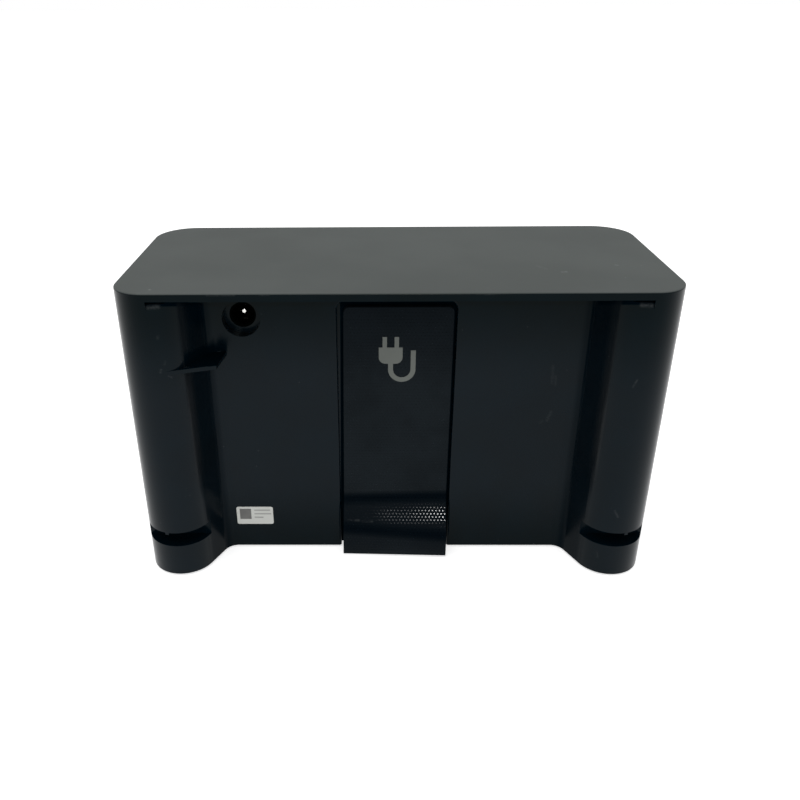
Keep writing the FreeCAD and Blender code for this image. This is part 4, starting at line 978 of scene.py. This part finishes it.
@dataclass
class StrapSymbol:
    """A plain sign of a plug and its curled cord, printed on the strap's face."""

    strap: CordStrap
    centre_x: float = 1.8
    base_z: float = 65.4
    sink: float = 0.05
    rise: float = 0.14
    body_width: float = 7.6
    body_height: float = 5.6
    body_round: float = 2.2
    round_steps: int = 10
    body_base: float = 6.4
    prong_width: float = 1.4
    prong_height: float = 3.6
    prong_spacing: float = 3.8
    cord_width: float = 1.6
    curl_radius: float = 3.6
    curl_steps: int = 24
    end_height: float = 11.0
    smooth_angle: float = 30.0

    def bar(self, left: float, low: float, right: float, high: float) -> Piece:
        """Models a flat bar between two corners, in millimetres from the middle of the sign's base."""
        face = self.strap.face
        return Bench.box("symbol_bar", (self.centre_x + left, face - self.sink, self.base_z + low),
                         (self.centre_x + right, face + self.rise, self.base_z + high))

    def body(self) -> Piece:
        """Models the plug's body, with its lower corners round."""
        half = self.body_width / 2
        body = self.bar(-half, self.body_base, half, self.body_base + self.body_height)
        low = self.base_z + self.body_base
        Bench.edit(body)
        Bench.pick(body, Part.EDGE,
                   lambda m: m.z < low + NEAR and abs(m.x - self.centre_x) > OUTER * half)
        bpy.ops.mesh.bevel(offset=self.body_round * MM, segments=self.round_steps, affect="EDGES")
        Bench.close()
        return body

    def curl(self) -> Piece:
        """Models the half ring that the cord makes under the plug."""
        Bench.clear()
        middle = self.strap.face + (self.rise - self.sink) / 2
        level = self.base_z + self.curl_radius + self.cord_width / 2
        centre = Vector((self.centre_x - self.curl_radius, middle, level))
        start = centre + Vector((self.curl_radius, 0, 0))
        bpy.ops.mesh.primitive_plane_add(size=1.0, location=start * MM)
        bpy.context.object.scale = (self.cord_width * MM, (self.rise + self.sink) * MM, 1.0)
        curl = Bench.keep("symbol_curl")
        Bench.edit(curl)
        bpy.ops.mesh.spin(steps=self.curl_steps, angle=-math.pi, center=centre * MM, axis=(0, 1, 0))
        bpy.ops.mesh.select_all(action="SELECT")
        bpy.ops.mesh.normals_make_consistent(inside=False)
        Bench.close()
        return curl

    def build(self) -> Piece:
        """Models the sign and prints it on the strap.

        Returns:
            The sign.
        """
        half = self.cord_width / 2
        level = self.curl_radius + half
        far = -2 * self.curl_radius
        pieces = [self.body(), self.curl(), self.bar(-half, level, half, self.body_base),
                  self.bar(far - half, level, far + half, self.end_height)]
        top = self.body_base + self.body_height
        for side in (-1, 1):
            middle = side * self.prong_spacing / 2
            pieces.append(self.bar(middle - self.prong_width / 2, top, middle + self.prong_width / 2,
                                   top + self.prong_height))
        sign = Bench.join(*pieces)
        sign.name = "strap_symbol"
        sign.data.materials.append(PRINT_GREY.material())
        Bench.smooth(sign, self.smooth_angle)
        settle(sign)
        return sign


@dataclass
class LabelPrint:
    """What a small sticker has printed on it, as plain blocks and bars that spell nothing."""

    sink: float = 0.05
    rise: float = 0.02
    block_inset: float = 1.1
    block_drop: float = 0.8
    block_width: float = 4.0
    block_height: float = 4.3
    line_inset: float = 6.2
    line_drop: float = 1.1
    line_height: float = 0.55
    line_step: float = 1.5
    line_lengths: tuple[float, ...] = (5.6, 5.9, 3.1)

    def __post_init__(self) -> None:
        """Reads the sticker's place from the frame."""
        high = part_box("rear_label")[1]
        self.left = high.x / MM
        self.top = high.z / MM
        self.face = high.y / MM

    def bar(self, inset: float, drop: float, width: float, height: float) -> Piece:
        """Models a bar by its distance from the sticker's upper left corner, in millimetres."""
        right = self.left - inset - width
        low = self.top - drop - height
        return Bench.box("label_bar", (right, self.face - self.sink, low),
                         (right + width, self.face + self.rise, low + height))

    def build(self) -> None:
        """Models the block and the lines, and prints them on the sticker."""
        block = self.bar(self.block_inset, self.block_drop, self.block_width, self.block_height)
        lines = Bench.join(*[
            self.bar(self.line_inset, self.line_drop + row * self.line_step, length, self.line_height)
            for row, length in enumerate(self.line_lengths)])
        dressed = ((block, "label_block", PRINT_DARK), (lines, "label_lines", PRINT_PALE))
        for piece, name, finish in dressed:
            piece.name = name
            piece.data.materials.append(finish.material())
            settle(piece)


@dataclass
class ContactSpring:
    """The coil spring under a contact, which shortens as the contact is pressed."""

    side: Side
    wire: float = 0.7
    turns: float = 3.5
    wire_sides: int = 16
    steps_per_turn: int = 40

    def __post_init__(self) -> None:
        """Reads the spring's place and its travel from the frame."""
        self.node = f"contact_spring_{self.side.value}"
        self.joint = f"{self.side.value}_contact_press"
        low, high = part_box(self.node)
        self.foot = Vector(((low.x + high.x) / 2, (low.y + high.y) / 2, low.z)) / MM
        self.height = (high.z - low.z) / MM
        self.radius = (high.x - low.x) / MM / 2 - self.wire / 2
        rows = {row["name"]: row for row in frame["record"]["behaviour"]["joints"]}
        self.travel = rows[self.joint]["range_m"][1] / MM

    def build(self) -> Piece:
        """Winds the spring and puts it on the dock.

        Returns:
            The spring.
        """
        Bench.clear()
        bpy.ops.mesh.primitive_circle_add(
            vertices=self.wire_sides, radius=self.wire / 2 * MM, rotation=(math.pi / 2, 0, 0),
            location=(self.radius * MM, 0, self.wire / 2 * MM))
        spring = Bench.keep(f"{self.node}_coil")
        coil = spring.modifiers.new("coil", "SCREW")
        coil.angle = math.tau * self.turns
        coil.screw_offset = (self.height - self.wire) * MM
        coil.steps = coil.render_steps = int(self.steps_per_turn * self.turns)
        bpy.ops.object.modifier_apply(modifier=coil.name)
        Bench.edit(spring)
        bpy.ops.mesh.fill_holes(sides=0)
        bpy.ops.mesh.select_all(action="SELECT")
        bpy.ops.mesh.normals_make_consistent(inside=False)
        bpy.ops.transform.translate(value=self.foot * MM)
        Bench.close()
        Bench.smooth(spring)
        spring.data.materials.append(SPRING_STEEL.material())
        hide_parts(self.node)
        settle(spring)
        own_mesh(spring)
        return spring


@dataclass
class Studio:
    """The pale floor, the soft light and the camera."""

    strap: CordStrap
    floor_size: float = 40000.0
    floor_colour: Colour = (0.86, 0.86, 0.86)
    floor_roughness: float = 0.9
    floor_ior: float = 1.1
    floor_lift: float = 0.58
    ambient: float = 0.55
    camera_place: Point = (7.712, 292.172, 175.742)
    camera_pitch: float = 26.763
    camera_heading: float = 180.89
    camera_roll: float = 0.517
    focal: float = 792.508
    image: float = 800.0
    axis_column: float = 361.185
    sensor: float = 36.0
    clip: Pair = (10.0, 50000.0)
    overhead_place: Point = (200.0, 500.0, 1500.0)
    overhead_target: Point = (0.0, 0.0, 50.0)
    overhead_size: Pair = (1200.0, 1200.0)
    overhead_power: float = 9.0
    window_distance: float = 1200.0
    window_size: Pair = (300.0, 50.0)
    window_power: float = 3.0

    def seen_rays(self, tree: bpy.types.NodeTree) -> Socket:
        """Adds a mask of the rays that show the background: camera, glossy and transmission rays.

        Args:
            tree: The floor's or the world's nodes.

        Returns:
            A socket that is 1 on those rays and 0 on the others.
        """
        path = tree.nodes.new("ShaderNodeLightPath").outputs
        total = path["Is Camera Ray"]
        for name in ("Is Glossy Ray", "Is Transmission Ray"):
            joined = tree.nodes.new("ShaderNodeMath")
            joined.operation = "MAXIMUM"
            tree.links.new(total, joined.inputs[0])
            tree.links.new(path[name], joined.inputs[1])
            total = joined.outputs[0]
        return total

    def build_floor(self) -> None:
        """Lays the floor, which shows as white but keeps the shadow."""
        Bench.clear()
        bpy.ops.mesh.primitive_plane_add(size=self.floor_size * MM)
        floor = Bench.keep("floor")
        paper = NodeSketch("floor_paper")
        paper.set(Roughness=self.floor_roughness, IOR=self.floor_ior)
        paper.set(Base_Color=self.floor_colour, Emission_Color=(1.0, 1.0, 1.0))
        paper.feed("Emission Strength", paper.product(self.seen_rays(paper.tree), self.floor_lift))
        floor.data.materials.append(paper.material)

    def build_world(self) -> None:
        """Lights the room evenly, and shows it as white."""
        world = bpy.data.worlds.new("studio")
        bpy.context.scene.world = world
        world.use_nodes = True
        tree = world.node_tree
        sky = tree.nodes["Background"]
        sky.inputs["Color"].default_value = (1.0, 1.0, 1.0, 1.0)
        level = tree.nodes.new("ShaderNodeMapRange")
        level.inputs["To Min"].default_value = self.ambient
        level.inputs["To Max"].default_value = 1.0
        tree.links.new(self.seen_rays(tree), level.inputs["Value"])
        tree.links.new(level.outputs["Result"], sky.inputs["Strength"])

    def add_softbox(self, name: str, place: Vector, target: Vector, size: Pair, power: float) -> None:
        """Hangs a softbox that faces a target.

        Args:
            name: The lamp's name.
            place: Its middle in metres.
            target: The point in metres that it faces.
            size: Its width and height in millimetres.
            power: Its power in watts.
        """
        lamp = bpy.data.lights.new(name, "AREA")
        lamp.shape = "RECTANGLE"
        lamp.size = size[0] * MM
        lamp.size_y = size[1] * MM
        lamp.energy = power
        box = bpy.data.objects.new(name, lamp)
        box.location = place
        box.rotation_euler = (target - place).to_track_quat("-Z", "Y").to_euler()
        bpy.context.scene.collection.objects.link(box)

    def add_window(self) -> None:
        """Hangs a small softbox where the strap's slope mirrors it into the lens."""
        spot, face = self.strap.glint()
        sight = (Vector(self.camera_place) * MM - spot).normalized()
        mirrored = 2 * sight.dot(face) * face - sight
        place = spot + mirrored * self.window_distance * MM
        self.add_softbox("window", place, spot, self.window_size, self.window_power)

    def build_camera(self) -> None:
        """Stands the camera where the photograph was taken from."""
        lens = bpy.data.cameras.new("camera")
        lens.sensor_width = self.sensor
        lens.lens = self.focal / self.image * self.sensor
        lens.shift_x = (self.image / 2 - self.axis_column) / self.image
        lens.clip_start = self.clip[0] * MM
        lens.clip_end = self.clip[1] * MM
        camera = bpy.data.objects.new("camera", lens)
        turn = Matrix.Rotation(math.radians(self.camera_heading), 4, "Z")
        tilt = Matrix.Rotation(math.radians(90 - self.camera_pitch), 4, "X")
        roll = Matrix.Rotation(math.radians(-self.camera_roll), 4, "Z")
        camera.matrix_world = Matrix.Translation(Vector(self.camera_place) * MM) @ turn @ tilt @ roll
        bpy.context.scene.collection.objects.link(camera)
        bpy.context.scene.camera = camera

    def build(self) -> None:
        """Sets up the whole studio."""
        self.build_floor()
        self.build_world()
        self.build_camera()
        self.add_softbox("overhead", Vector(self.overhead_place) * MM, Vector(self.overhead_target) * MM,
                         self.overhead_size, self.overhead_power)
        self.add_window()
        bpy.context.scene.view_settings.view_transform = "Standard"


def dress_frame() -> None:
    """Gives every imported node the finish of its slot."""
    made = {name: finish.material() for name, finish in (SLOT_FINISHES | NODE_FINISHES).items()}
    for row in frame["record"]["subparts"]:
        node = frame["nodes"][row["node"]]
        node.data.materials.clear()
        node.data.materials.append(made.get(row["node"], made[row["material_slot"]]))
        LOG.info("node %s in %s", row["node"], row["material_slot"])


def main() -> None:
    """Dresses the frame, adds the new pieces and sets up the studio."""
    logging.basicConfig(level=logging.INFO, format="%(message)s")
    dress_frame()
    strap = CordStrap()
    strap.build()
    StrapSymbol(strap).build()
    LabelPrint().build()
    for side in Side:
        ContactSpring(side).build()
    Studio(strap).build()


if __name__ == "__main__":
    main()
